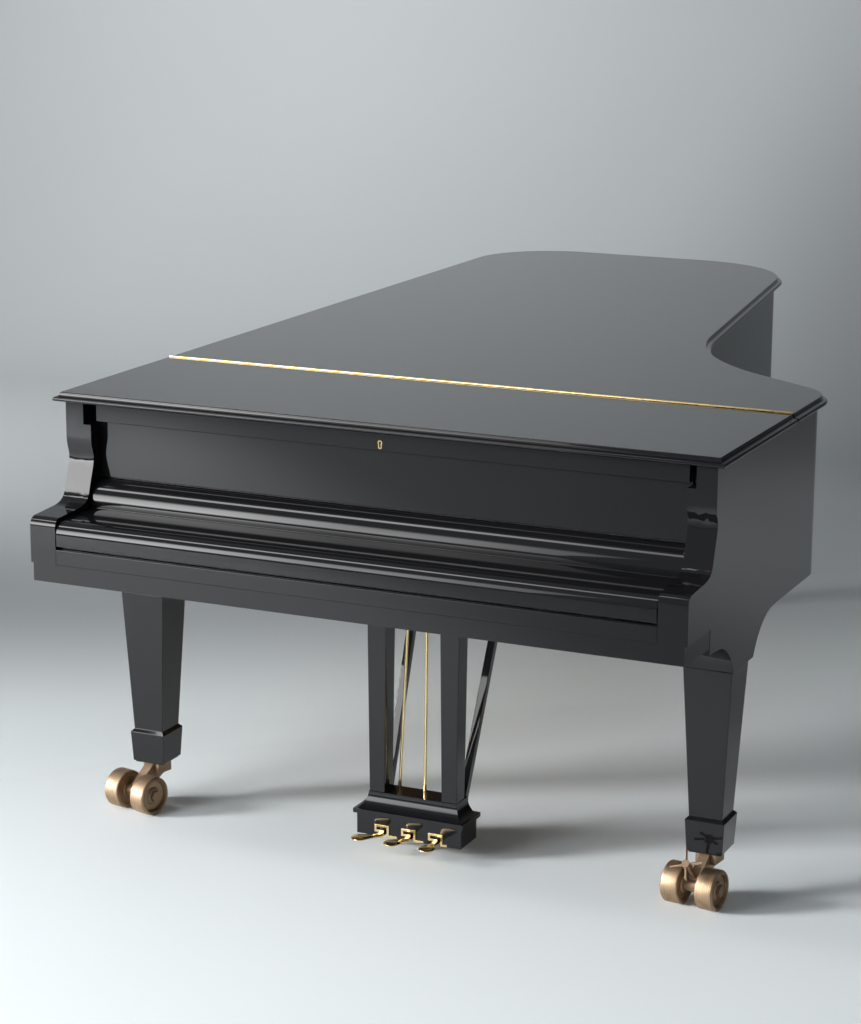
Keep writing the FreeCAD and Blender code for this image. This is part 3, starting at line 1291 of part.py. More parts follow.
def pedal_trim():
    """A brass meander on the front of the box: one square hook over each pedal."""
    y0 = LYRE_FRONT - TRIM_THICK
    bars = []
    for x in PEDAL_PLACES.values():
        left = x - TRIM_WIDE / 2
        right = x + TRIM_WIDE / 2
        top = TRIM_FOOT_Z + TRIM_TALL
        hook = top - TRIM_HOOK
        link = TRIM_LAST if x > 0 else TRIM_LINK
        hooks = [(left, right, top - TRIM_BAR, top), (right - TRIM_BAR, right, TRIM_FOOT_Z, top),
                 (left, left + TRIM_BAR, hook, top), (left, x + TRIM_BAR, hook, hook + TRIM_BAR),
                 (right - TRIM_BAR, right + link, TRIM_FOOT_Z, TRIM_FOOT_Z + TRIM_BAR)]
        bars.append(fuse([box(a, b, y0, LYRE_FRONT, low, high) for a, b, low, high in hooks]))
    return group(bars)


def pedal(name):
    """A brass lever with a spoon-shaped toe."""
    x = PEDAL_PLACES[name]
    toe_x = x + PEDAL_SPLAY[name]
    low = PEDAL_PIVOT_Z - PEDAL_THICK / 2
    half = PEDAL_SHANK / 2
    toe_y = LYRE_FRONT - PEDAL_REACH + PEDAL_TIP / 2
    neck_y = LYRE_FRONT - BOX_WALL
    rear = box(x - half, x + half, neck_y, PEDAL_REAR_Y, low, low + PEDAL_THICK)
    toe_low = low + PEDAL_TIP_RISE
    shaft_ring = [V(x - half, neck_y, low), V(x + half, neck_y, low), V(toe_x + half, toe_y, toe_low),
                  V(toe_x - half, toe_y, toe_low), V(x - half, neck_y, low)]
    shaft = Part.Face(Part.makePolygon(shaft_ring)).extrude(V(0, 0, PEDAL_THICK))
    toe = Part.makeCylinder(PEDAL_TIP / 2, PEDAL_THICK, V(toe_x, toe_y, low + PEDAL_TIP_RISE), Z_AXIS)
    boss = rod_x(x - half, x + half, PEDAL_PIVOT_Y, PEDAL_PIVOT_Z, PEDAL_BOSS)
    bore = rod_x(x - PEDAL_SHANK, x + PEDAL_SHANK, PEDAL_PIVOT_Y, PEDAL_PIVOT_Z,
                 PEDAL_PIN_RADIUS + PIN_CLEAR)
    return fuse([rear, shaft, toe, boss]).cut(bore)


def all_pieces():
    pieces = {
        "rim": rim(), "inner_rim": inner_rim(), "frame_braces": frame_braces(),
        "soundboard": soundboard(), "soundboard_ribs": soundboard_ribs(), "bridges": bridges(),
        "iron_plate": iron_plate(), "pin_block": pin_block(), "tuning_pins": tuning_pins(),
        "bass_strings": bass_strings(), "treble_strings": treble_strings(), "keybed": keybed(),
        "key_slip": key_slip(), "key_blocks": key_blocks(), "nameboard": nameboard(),
        "leg_blocks": leg_blocks(), "lyre_pillars": lyre_pillars(), "pedal_box": pedal_box(),
        "lyre_braces": lyre_braces(), "pedal_trim": pedal_trim(), "lid_bumpers": lid_bumpers(),
        "lid_hinge_lower": butt_hinges(False), "lid_hinge_upper": butt_hinges(True), "lid_main": lid_main(),
        "fold_hinge_rear": fold_hinge(1, 0), "fold_hinge_front": fold_hinge(-1, 1), "lid_front": lid_front(),
        "drop_rail": drop_rail(), "lock_escutcheon": lock_escutcheon(), "prop_stick": prop_stick(),
        "fallboard": fallboard(), "music_tray": music_tray(), "music_desk": music_desk(),
        "key_frame": key_frame(), "action_stack": action_stack(), "natural_keys": natural_keys(),
        "sharp_keys": sharp_keys(), "natural_hammers": hammers(True), "sharp_hammers": hammers(False),
        "dampers": dampers(), "sostenuto_rod": sostenuto_rod(), "brake_screw": brake_screw(),
    }
    for name in LEG_PLACES:
        pieces["leg_" + name] = leg(name)
        pieces["caster_fork_" + name] = caster_fork(name)
        pieces["wheel_" + name + "_1"] = caster_wheel(name, -1)
        pieces["wheel_" + name + "_2"] = caster_wheel(name, 1)
    for name in PEDAL_PLACES:
        pieces["pedal_" + name] = pedal(name)
        pieces["pedal_rod_" + name] = pull_rod(name)
    # The lyre hangs a little to the bass side, under the middle of the keys in use.
    for name, shape in pieces.items():
        if name.startswith(("lyre_", "pedal_")):
            shape.translate(V(LYRE_X, 0, 0))
    return pieces


os.makedirs("parts", exist_ok=True)
for node, shape in all_pieces().items():
    shape.translate(V(0, -LENGTH / 2, 0))
    shape.exportStep("parts/" + node + ".step")
    print(node, len(shape.Solids), shape.isValid(), round(shape.Volume / 1e6, 3))
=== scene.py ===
import json
import math

import bmesh
import bpy
from mathutils import Matrix, Vector


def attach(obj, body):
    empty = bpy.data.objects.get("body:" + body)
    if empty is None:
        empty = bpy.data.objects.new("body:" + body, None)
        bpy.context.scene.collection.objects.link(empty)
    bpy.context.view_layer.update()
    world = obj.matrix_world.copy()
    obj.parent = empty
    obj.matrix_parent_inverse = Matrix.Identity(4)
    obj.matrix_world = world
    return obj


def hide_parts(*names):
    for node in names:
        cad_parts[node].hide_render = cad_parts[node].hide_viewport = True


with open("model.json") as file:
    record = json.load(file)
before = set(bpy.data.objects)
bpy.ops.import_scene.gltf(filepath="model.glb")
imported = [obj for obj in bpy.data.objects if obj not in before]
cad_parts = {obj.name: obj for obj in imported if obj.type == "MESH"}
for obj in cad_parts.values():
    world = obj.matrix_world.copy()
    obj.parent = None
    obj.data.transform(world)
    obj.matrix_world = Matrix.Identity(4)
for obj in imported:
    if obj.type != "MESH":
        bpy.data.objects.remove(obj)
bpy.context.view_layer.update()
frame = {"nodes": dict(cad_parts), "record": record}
NODES = frame["nodes"]
BODY_OF = {n: b for b, names in frame["record"]["behaviour"]["bodies"].items() for n in names}
SLOT_OF = {s["node"]: s["material_slot"] for s in frame["record"]["subparts"]}
scene = bpy.context.scene
scene.view_settings.view_transform = "Standard"

# Sizes shared with the solids, in metres: X across, Y from the middle of the piano, Z from the floor
FRONT = -1.370
CASE_HALF = 0.766
LID_BOTTOM = 1.016
LID_TOP = 1.036
LID_LIP = 0.021
LID_FRONT = FRONT + 0.136
FOLD = FRONT + 0.634
FOLD_GAP = 0.0036

# The outline of the rim: bass tail corner, treble tail corner, hollow of the bent side and cheek
TAIL = FRONT + 2.719
BASS_TAIL_RADIUS = 0.236
TREBLE_TAIL_RADIUS = 0.311
HOLLOW_RADIUS = 0.647
CHEEK_RADIUS = 0.120
CHEEK_Y = FRONT + 0.833
BENT_ANGLE = math.radians(7.95)
BENT_POINT = (0.175, FRONT + 2.318)
WAIST_ANGLE = math.radians(56.0)

# Casters as (x, distance from the front, yaw in degrees), and pedals as (x, sideways splay of the toe)
LEGS = {"bass": (-0.6935, 0.4035, -13.0), "treble": (0.6935, 0.4035, -7.0), "tail": (-0.340, 2.400, 20.0)}
CASTER_TRAIL = 0.074
WHEEL_RADIUS = 0.0455
WHEEL_HALF_SPACE = 0.0415
WHEEL_WIDE = 0.042
PEDALS = {"pedal_left": (-0.071, -0.026), "pedal_middle": (-0.004, -0.013), "pedal_right": (0.063, 0.006)}

# Rounding of the polished edges, and the nodes that have it
EDGE_WIDTHS = (
    (0.0012, ("rim", "keybed", "key_slip", "key_blocks", "nameboard", "drop_rail", "leg_blocks", "leg_bass",
              "leg_treble", "leg_tail", "lyre_pillars", "lyre_braces", "music_tray", "music_desk")),
    (0.0010, ("fallboard", "pedal_box")),
    (0.0006, ("pedal_trim",)),
)

# The photograph's viewpoint, with angles in radians and lengths of the lens in millimetres
CAMERA_PLACE = (2.39893, -6.16520, 2.18506)
CAMERA_YAW = -0.4291
CAMERA_PITCH = -0.2396
CAMERA_ROLL = 0.0051
CAMERA_LENS = 93.29
CAMERA_SENSOR = 36.0

# Softboxes: place, target, size, power, spread in degrees, and the glow over width and height, as
# (position, level) stops
EVEN = ((0.0, 1.0), (1.0, 1.0))
SOFT_EDGES = ((0.0, 0.0), (0.25, 1.0), (0.75, 1.0), (1.0, 0.0))
LAMPS = {
    "key": ((-9.1, -7.3, 3.3), (0.6, -1.9, 0.0), (2.4, 2.4), 104.0, 36.0, EVEN, EVEN),
    "panel": ((-2.6, -5.4, 2.3), (-0.2, -1.2, 0.8), (2.8, 3.0), 330.0, 180.0,
              ((0.0, 1.0), (0.4, 1.0), (0.7, 0.5), (1.0, 0.2)),
              ((0.0, 0.2), (0.15, 1.0), (0.6, 0.8), (1.0, 0.0))),
    "overhead": ((-1.7, -2.5, 4.1), (-1.7, -2.49, 0.0), (2.6, 0.9), 60.0, 180.0,
                 ((0.0, 1.0), (0.5, 0.9), (1.0, 0.4)), SOFT_EDGES),
    "wall": ((-4.5, -0.4, 2.5), (-3.2, 5.2, 1.4), (1.8, 1.4), 175.0, 115.0, SOFT_EDGES, SOFT_EDGES),
    "right_pool": ((2.0, 2.4, 3.6), (2.0, 2.41, 0.0), (1.2, 1.2), 26.0, 60.0, SOFT_EDGES, SOFT_EDGES),
    "left_pool": ((-2.9, -4.8, 3.4), (-2.9, -4.79, 0.0), (0.8, 0.8), 12.0, 42.0, SOFT_EDGES, SOFT_EDGES),
}
SKY_COLOUR = (0.92, 0.97, 1.0, 1.0)
SKY_STRENGTH = 0.26

# The paper sweep, and the painted shade that turns it greyer, as (direction, start, end, level): to the
# back on both sides, to the far right and behind the camera, standing in for the piano's shadow and for
# light falling off
SWEEP_HALF = 14.0
SWEEP_NEAR = -16.0
SWEEP_BEND = 3.4
SWEEP_RADIUS = 1.8
SWEEP_TALL = 9.0
SWEEP_STEPS = 12
PAPER_TONES = [(0.3, (0.735, 0.776, 0.793)), (0.7, (0.755, 0.796, 0.813))]
PAPER_PAINTED_SHADE = (((-0.6, 1.0, 0.0), 0.2, 1.5, 0.62), ((1.0, 0.6, -0.9), 0.6, 2.2, 0.62),
               ((1.0, 0.0, 0.0), 2.0, 3.6, 0.15), ((0.8, -1.0, 0.0), 2.5, 3.4, 0.40))


def add_camera():
    level = math.cos(CAMERA_PITCH)
    forward = Vector((math.sin(CAMERA_YAW) * level, math.cos(CAMERA_YAW) * level, math.sin(CAMERA_PITCH)))
    right = Vector((math.cos(CAMERA_YAW), -math.sin(CAMERA_YAW), 0))
    up = right.cross(forward)
    turned_right = right * math.cos(CAMERA_ROLL) + up * math.sin(CAMERA_ROLL)
    turned_up = up * math.cos(CAMERA_ROLL) - right * math.sin(CAMERA_ROLL)
    data = bpy.data.cameras.new("camera")
    data.sensor_width = CAMERA_SENSOR
    data.lens = CAMERA_LENS
    data.clip_end = 100.0
    camera = bpy.data.objects.new("camera", data)
    basis = Matrix((turned_right, turned_up, -forward)).transposed().to_4x4()
    camera.matrix_world = Matrix.Translation(CAMERA_PLACE) @ basis
    scene.collection.objects.link(camera)
    scene.camera = camera


# Materials
def fill_ramp(ramp, stops):
    """Set the stops of a colour ramp node from (position, colour) pairs."""
    elements = ramp.color_ramp.elements
    while len(elements) < len(stops):
        elements.new(0.5)
    for element, (position, colour) in zip(elements, stops):
        element.position = position
        element.color = (*colour, 1.0)


class Nodes:
    """A small helper to write node trees line by line."""

    def __init__(self, name):
        self.material = bpy.data.materials.new(name)
        self.material.use_nodes = True
        self.tree = self.material.node_tree
        self.shader = self.tree.nodes["Principled BSDF"]

    def add(self, kind, **settings):
        node = self.tree.nodes.new(kind)
        for key, value in settings.items():
            setattr(node, key, value)
        return node

    def link(self, output, target):
        self.tree.links.new(output, target)

    def paint(self, output, socket):
        self.link(output, self.shader.inputs[socket])

    def coordinates(self, scale=(1.0, 1.0, 1.0)):
        place = self.add("ShaderNodeTexCoord")
        mapping = self.add("ShaderNodeMapping")
        mapping.inputs["Scale"].default_value = scale
        self.link(place.outputs["Object"], mapping.inputs["Vector"])
        return mapping.outputs["Vector"]

    def noise(self, vector, scale, detail):
        noise = self.add("ShaderNodeTexNoise")
        noise.inputs["Scale"].default_value = scale
        noise.inputs["Detail"].default_value = detail
        self.link(vector, noise.inputs["Vector"])
        return noise.outputs["Fac"]

    def ramp(self, value, stops):
        ramp = self.add("ShaderNodeValToRGB")
        fill_ramp(ramp, stops)
        self.link(value, ramp.inputs["Fac"])
        return ramp.outputs["Color"]

    def spread(self, value, low, high):
        """Stretch the middle of a noise to a range."""
        spread = self.add("ShaderNodeMapRange")
        spread.inputs["From Min"].default_value = 0.3
        spread.inputs["From Max"].default_value = 0.7
        spread.inputs["To Min"].default_value = low
        spread.inputs["To Max"].default_value = high
        self.link(value, spread.inputs["Value"])
        return spread.outputs["Result"]

    def bump(self, height, strength, distance):
        bump = self.add("ShaderNodeBump")
        bump.inputs["Strength"].default_value = strength
        bump.inputs["Distance"].default_value = distance
        self.link(height, bump.inputs["Height"])
        self.paint(bump.outputs["Normal"], "Normal")


def lacquer(name, colour, low, high, peel):
    """Polished polyester: near-black, very smooth, with a trace of orange peel and polishing haze."""
    m = Nodes(name)
    where = m.coordinates()
    haze = m.noise(where, scale=2.2, detail=5.0)
    dark = tuple(c * 0.85 for c in colour)
    m.paint(m.ramp(haze, [(0.35, dark), (0.65, colour)]), "Base Color")
    m.paint(m.spread(m.noise(where, scale=9.0, detail=6.0), low, high), "Roughness")
    m.bump(m.noise(where, scale=55.0, detail=2.0), strength=peel, distance=0.002)
    m.shader.inputs["IOR"].default_value = 1.45
    return m.material


def metal(name, colour, shade, low, high, grain, bumpiness=0.05):
    """Metal with tarnish patches and a fine grain in its roughness."""
    m = Nodes(name)
    m.shader.inputs["Metallic"].default_value = 1.0
    where = m.coordinates()
    patch = m.noise(where, scale=14.0, detail=6.0)
    m.paint(m.ramp(patch, [(0.3, shade), (0.7, colour)]), "Base Color")
    fine = m.noise(where, scale=grain, detail=4.0)
    m.paint(m.spread(fine, low, high), "Roughness")
    m.bump(fine, strength=bumpiness, distance=0.0008)
    return m.material


def turned_metal(name, colour, shade):
    """Worn cast bronze; wheels carry an "axial" attribute, which draws the turning lines round them."""
    m = Nodes(name)
    m.shader.inputs["Metallic"].default_value = 1.0
    where = m.coordinates()
    axial = m.add("ShaderNodeAttribute", attribute_name="axial")
    lines = m.add("ShaderNodeTexNoise", noise_dimensions="1D")
    lines.inputs["Scale"].default_value = 420.0
    lines.inputs["Detail"].default_value = 3.0
    m.link(axial.outputs["Fac"], lines.inputs["W"])
    mixed = m.add("ShaderNodeMath", operation="ADD")
    m.link(lines.outputs["Fac"], mixed.inputs[0])
    m.link(m.noise(where, scale=45.0, detail=6.0), mixed.inputs[1])
    half = m.add("ShaderNodeMath", operation="MULTIPLY")
    half.inputs[1].default_value = 0.5
    m.link(mixed.outputs[0], half.inputs[0])
    wear = half.outputs[0]
    m.paint(m.ramp(wear, [(0.36, shade), (0.62, colour)]), "Base Color")
    m.paint(m.spread(wear, 0.62, 0.44), "Roughness")
    m.bump(wear, strength=0.25, distance=0.0008)
    return m.material


def wood(name, light, dark, rings, stretch, rough):
    """Satin wood: growth rings stretched along the grain, with pores."""
    m = Nodes(name)
    where = m.coordinates(stretch)
    wave = m.add("ShaderNodeTexWave")
    wave.inputs["Scale"].default_value = rings
    wave.inputs["Distortion"].default_value = 3.0
    wave.inputs["Detail"].default_value = 3.0
    m.link(where, wave.inputs["Vector"])
    m.paint(m.ramp(wave.outputs["Fac"], [(0.2, dark), (0.8, light)]), "Base Color")
    pores = m.noise(where, scale=80.0, detail=5.0)
    m.paint(m.spread(pores, rough * 0.8, rough * 1.2), "Roughness")
    m.bump(pores, strength=0.15, distance=0.0005)
    return m.material


def soft(name, colour, shade, scale, rough, bumpiness):
    """Felt, rubber or plastic: mottled colour and a surface of its own."""
    m = Nodes(name)
    mottle = m.noise(m.coordinates(), scale=scale, detail=6.0)
    m.paint(m.ramp(mottle, [(0.3, shade), (0.7, colour)]), "Base Color")
    m.paint(m.spread(mottle, rough * 0.85, min(1.0, rough * 1.15)), "Roughness")
    m.bump(mottle, strength=bumpiness, distance=0.001)
    return m.material


LOOKS = {
    "black_lacquer": (lacquer, dict(colour=(0.0075, 0.0075, 0.0085), low=0.02, high=0.05, peel=0.010)),
    "bare_wood": (wood, dict(light=(0.50, 0.34, 0.19), dark=(0.38, 0.24, 0.12),
                             rings=6.0, stretch=(1.0, 0.25, 1.0), rough=0.5)),
    "soundboard_spruce": (wood, dict(light=(0.74, 0.53, 0.29), dark=(0.60, 0.40, 0.19),
                                     rings=30.0, stretch=(1.0, 0.6, 0.2), rough=0.3)),
    "bridge_maple": (wood, dict(light=(0.52, 0.34, 0.18), dark=(0.40, 0.25, 0.12),
                                rings=14.0, stretch=(1.0, 0.3, 1.0), rough=0.4)),
    "plate_iron": (metal, dict(colour=(0.66, 0.46, 0.17), shade=(0.56, 0.38, 0.13),
                               low=0.34, high=0.46, grain=240.0, bumpiness=0.12)),
    "steel": (metal, dict(colour=(0.66, 0.66, 0.68), shade=(0.54, 0.54, 0.56),
                          low=0.18, high=0.30, grain=320.0)),
    "copper_wound": (metal, dict(colour=(0.80, 0.42, 0.22), shade=(0.62, 0.30, 0.15),
                                 low=0.25, high=0.38, grain=400.0)),
    "brass": (metal, dict(colour=(0.92, 0.73, 0.40), shade=(0.84, 0.62, 0.29),
                          low=0.09, high=0.19, grain=180.0)),
    "caster_bronze": (turned_metal, dict(colour=(0.46, 0.33, 0.22), shade=(0.27, 0.18, 0.11))),
    "key_white": (soft, dict(colour=(0.86, 0.84, 0.78), shade=(0.82, 0.79, 0.71),
                             scale=30.0, rough=0.18, bumpiness=0.02)),
    "key_black": (soft, dict(colour=(0.016, 0.015, 0.015), shade=(0.010, 0.010, 0.010),
                             scale=60.0, rough=0.30, bumpiness=0.05)),
    "hammer_felt": (soft, dict(colour=(0.82, 0.79, 0.70), shade=(0.70, 0.66, 0.56),
                               scale=220.0, rough=0.95, bumpiness=0.5)),
    "damper_felt": (soft, dict(colour=(0.020, 0.019, 0.018), shade=(0.012, 0.012, 0.012),
                               scale=60.0, rough=0.25, bumpiness=0.05)),
    "bumper_rubber": (soft, dict(colour=(0.022, 0.022, 0.022), shade=(0.014, 0.014, 0.014),
                                 scale=90.0, rough=0.75, bumpiness=0.2)),
    "action_metal": (metal, dict(colour=(0.60, 0.60, 0.61), shade=(0.50, 0.50, 0.52),
                                 low=0.35, high=0.45, grain=120.0)),
}
MATERIALS = {name: make(name, **settings) for name, (make, settings) in LOOKS.items()}


# Mesh helpers
def finish_mesh(obj, angle=32.0):
    """Smooth shading with sharp edges above an angle in degrees."""
    mesh = obj.data
    work = bmesh.new()
    work.from_mesh(mesh)
    for face in work.faces:
        face.smooth = True
    limit = math.radians(angle)
    for edge in work.edges:
        edge.smooth = not (len(edge.link_faces) == 2 and edge.calc_face_angle(0.0) > limit)
    work.to_mesh(mesh)
    work.free()


def add_object(name, work):
    mesh = bpy.data.meshes.new(name)
    work.to_mesh(mesh)
    work.free()
    obj = bpy.data.objects.new(name, mesh)
    scene.collection.objects.link(obj)
    return obj


def new_piece(name, work, slot, body):
    obj = add_object(name, work)
    obj.data.materials.append(MATERIALS[slot])
    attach(obj, body)
    return obj


def weigh_normals(obj):
    obj.modifiers.new("normals", "WEIGHTED_NORMAL").keep_sharp = True


def polished(node, width):
    """A copy of a CAD node with softly rounded edges, which stands for it."""
    work = bmesh.new()
    work.from_mesh(NODES[node].data)
    bmesh.ops.remove_doubles(work, verts=work.verts, dist=2e-6)
    bmesh.ops.dissolve_limit(work, angle_limit=math.radians(0.6), verts=work.verts, edges=work.edges)
    obj = new_piece(node + "_finish", work, SLOT_OF[node], BODY_OF[node])
    finish_mesh(obj)
    bevel = obj.modifiers.new("edges", "BEVEL")
    bevel.width = width
    bevel.segments = 3
    bevel.limit_method = "ANGLE"
    bevel.angle_limit = math.radians(28.0)
    weigh_normals(obj)
    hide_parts(node)


def bridge(work, rows):
    """Faces between each ring of vertices and the next."""
    count = len(rows[0])
    for low, high in zip(rows, rows[1:]):
        for i in range(count):
            j = (i + 1) % count
            work.faces.new((low[i], low[j], high[j], high[i]))


def skin(rings, name, slot, body):
    """Closed solid through equal rings of points, capped at both ends."""
    work = bmesh.new()
    rows = [[work.verts.new(p) for p in ring] for ring in rings]
    bridge(work, rows)
    work.faces.new(rows[-1])
    work.faces.new(list(reversed(rows[0])))
    bmesh.ops.recalc_face_normals(work, faces=work.faces)
    obj = new_piece(name, work, slot, body)
    finish_mesh(obj, 40.0)
    weigh_normals(obj)
    return obj


def arc_points(centre, radii, begin, finish, count):
    """Points along an arc of an ellipse, between two angles in degrees."""
    turns = [math.radians(begin + (finish - begin) * i / count) for i in range(count + 1)]
    return [(centre[0] + radii[0] * math.cos(t), centre[1] + radii[1] * math.sin(t)) for t in turns]


# Stage and light
def add_stage():
    """A pale studio sweep: floor, a wide curve and the wall behind, its colour greyed in places by painted
    shade.
    """
    profile = [(SWEEP_NEAR, 0.0), (SWEEP_BEND, 0.0)]
    profile += arc_points((SWEEP_BEND, SWEEP_RADIUS), (SWEEP_RADIUS, SWEEP_RADIUS), -90, 0, SWEEP_STEPS)[1:]
    profile.append((SWEEP_BEND + SWEEP_RADIUS, SWEEP_TALL))
    work = bmesh.new()
    left, right = [[work.verts.new((x, y, z)) for y, z in profile] for x in (-SWEEP_HALF, SWEEP_HALF)]
    for i in range(len(profile) - 1):
        work.faces.new((left[i], right[i], right[i + 1], left[i + 1]))
    sweep = add_object("studio_sweep", work)
    finish_mesh(sweep)
    m = Nodes("studio_paper_painted_shade")
    where = m.coordinates()
    paper_tone_and_shade = m.ramp(m.noise(where, scale=0.7, detail=3.0), PAPER_TONES)
    # Painted shade: each step darkens the paper's colour along a direction, standing in for shadow and
    # light falling off.
    for way, near, far, level in PAPER_PAINTED_SHADE:
        along = m.add("ShaderNodeVectorMath", operation="DOT_PRODUCT")
        along.inputs[1].default_value = way
        m.link(where, along.inputs[0])
        painted_shade = m.add("ShaderNodeMapRange", interpolation_type="SMOOTHSTEP")
        painted_shade.inputs["From Min"].default_value = near
        painted_shade.inputs["From Max"].default_value = far
        painted_shade.inputs["To Min"].default_value = 1.0
        painted_shade.inputs["To Max"].default_value = level
        m.link(along.outputs["Value"], painted_shade.inputs["Value"])
        scaled = m.add("ShaderNodeVectorMath", operation="SCALE")
        m.link(paper_tone_and_shade, scaled.inputs[0])
        m.link(painted_shade.outputs["Result"], scaled.inputs["Scale"])
        paper_tone_and_shade = scaled.outputs["Vector"]
    m.paint(paper_tone_and_shade, "Base Color")
    m.shader.inputs["Roughness"].default_value = 0.6
    m.shader.inputs["Specular IOR Level"].default_value = 0.25
    # Seen from behind, the wall lets the camera through.
    behind = m.add("ShaderNodeMath", operation="MULTIPLY")
    m.link(m.add("ShaderNodeLightPath").outputs["Is Camera Ray"], behind.inputs[0])
    m.link(m.add("ShaderNodeNewGeometry").outputs["Backfacing"], behind.inputs[1])
    open_back = m.add("ShaderNodeMixShader")
    m.link(behind.outputs[0], open_back.inputs["Fac"])
    m.link(m.shader.outputs["BSDF"], open_back.inputs[1])
    m.link(m.add("ShaderNodeBsdfTransparent").outputs["BSDF"], open_back.inputs[2])
    m.link(open_back.outputs["Shader"], m.tree.nodes["Material Output"].inputs["Surface"])
    sweep.data.materials.append(m.material)


def add_light(name, place, target, size, power, spread, along, across):
    """A softbox whose glow varies over its width and height."""
    data = bpy.data.lights.new(name, "AREA")
    data.shape = "RECTANGLE"
    data.size, data.size_y = size
    data.energy = power
    data.spread = math.radians(spread)
    data.use_nodes = True
    tree = data.node_tree
    split = tree.nodes.new("ShaderNodeSeparateXYZ")
    tree.links.new(tree.nodes.new("ShaderNodeNewGeometry").outputs["Parametric"], split.inputs[0])
    product = tree.nodes.new("ShaderNodeMath")
    product.operation = "MULTIPLY"
    for factor, (axis, stops) in enumerate((("X", along), ("Y", across))):
        ramp = tree.nodes.new("ShaderNodeValToRGB")
        ramp.color_ramp.interpolation = "EASE"
        fill_ramp(ramp, [(position, (level, level, level)) for position, level in stops])
        tree.links.new(split.outputs[axis], ramp.inputs["Fac"])
        tree.links.new(ramp.outputs["Color"], product.inputs[factor])
    tree.links.new(product.outputs[0], tree.nodes["Emission"].inputs["Strength"])
    lamp = bpy.data.objects.new(name, data)
    lamp.location = place
    lamp.rotation_euler = (Vector(target) - Vector(place)).to_track_quat("-Z", "Y").to_euler()
    scene.collection.objects.link(lamp)


def add_lights():
    world = bpy.data.worlds.new("studio")
    scene.world = world
    world.use_nodes = True
    sky = world.node_tree.nodes["Background"]
    sky.inputs["Color"].default_value = SKY_COLOUR
    sky.inputs["Strength"].default_value = SKY_STRENGTH
    for name, settings in LAMPS.items():
        add_light(name, *settings)


# Lid with its moulded edge
def outline(grow, front):
    """Points of the piano-shaped outline, grown outwards from the rim, clockwise from the bass front."""
    steps = 40
    bent = Vector((math.cos(BENT_ANGLE), math.sin(BENT_ANGLE)))
    waist = Vector((math.cos(WAIST_ANGLE), math.sin(WAIST_ANGLE)))
    reach = bent.dot(Vector(BENT_POINT))
    corner = Vector((-CASE_HALF + BASS_TAIL_RADIUS, TAIL - BASS_TAIL_RADIUS))
    end_y = TAIL - TREBLE_TAIL_RADIUS
    end = Vector(((reach - TREBLE_TAIL_RADIUS - bent.y * end_y) / bent.x, end_y))
    cheek = Vector((CASE_HALF - CHEEK_RADIUS, CHEEK_Y))
    # The hollow's centre lies one radius beyond the bent side, and meets the cheek along the waist's line.
    first = reach + HOLLOW_RADIUS
    second = waist.dot(cheek) + CHEEK_RADIUS + HOLLOW_RADIUS
    cross = bent.x * waist.y - bent.y * waist.x
    hollow = Vector(((first * waist.y - second * bent.y) / cross,
                     (second * bent.x - first * waist.x) / cross))
    turns = ((corner, BASS_TAIL_RADIUS + grow, math.pi, math.pi / 2),
             (end, TREBLE_TAIL_RADIUS + grow, math.pi / 2, BENT_ANGLE),
             (hollow, HOLLOW_RADIUS - grow, math.pi + BENT_ANGLE, math.pi + WAIST_ANGLE),
             (cheek, CHEEK_RADIUS + grow, WAIST_ANGLE, 0.0))
    points = [Vector((-CASE_HALF - grow, front))]
    for centre, radius, begin, finish in turns:
        for i in range(steps + 1):
            angle = begin + (finish - begin) * i / steps
            points.append(centre + radius * Vector((math.cos(angle), math.sin(angle))))
    points.append(Vector((CASE_HALF + grow, front)))
    return points


def lid_profile():
    """(growth beyond the rim, height) up the lid's edge: a rounded lip, a step and a small cove."""
    underside_in = -0.004
    lip_radius = 0.0048
    step_out, step_up = 0.0135, 0.0098
    cove_out, cove_up, cove_wide, cove_tall = 0.0125, 0.0105, 0.0035, 0.0065
    top_radius = 0.0025
    top_out = cove_out - cove_wide
    lip = arc_points((LID_LIP - lip_radius, LID_BOTTOM + lip_radius), (lip_radius, lip_radius), -90, 90, 8)
    cove = arc_points((cove_out, LID_BOTTOM + cove_up + cove_tall), (cove_wide, cove_tall), 270, 180, 5)
    top = arc_points((top_out - top_radius, LID_TOP - top_radius), (top_radius, top_radius), 0, 90, 5)
    return [(underside_in, LID_BOTTOM)] + lip + [(step_out, LID_BOTTOM + step_up)] + cove + top[1:]


def add_lid():
    steps = lid_profile()
    main = skin([[(p.x, p.y, z) for p in outline(grow, FOLD + FOLD_GAP)] for grow, z in steps],
                "lid_main_finish", SLOT_OF["lid_main"], BODY_OF["lid_main"])
    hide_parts("lid_main")
    rings = []
    for grow, z in steps:
        half = CASE_HALF + grow
        near = LID_FRONT + LID_LIP - grow
        far = FOLD - FOLD_GAP
        rings.append([(-half, far, z), (half, far, z), (half, near, z), (-half, near, z)])
    front = skin(rings, "lid_front_finish", SLOT_OF["lid_front"], BODY_OF["lid_front"])
    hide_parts("lid_front")


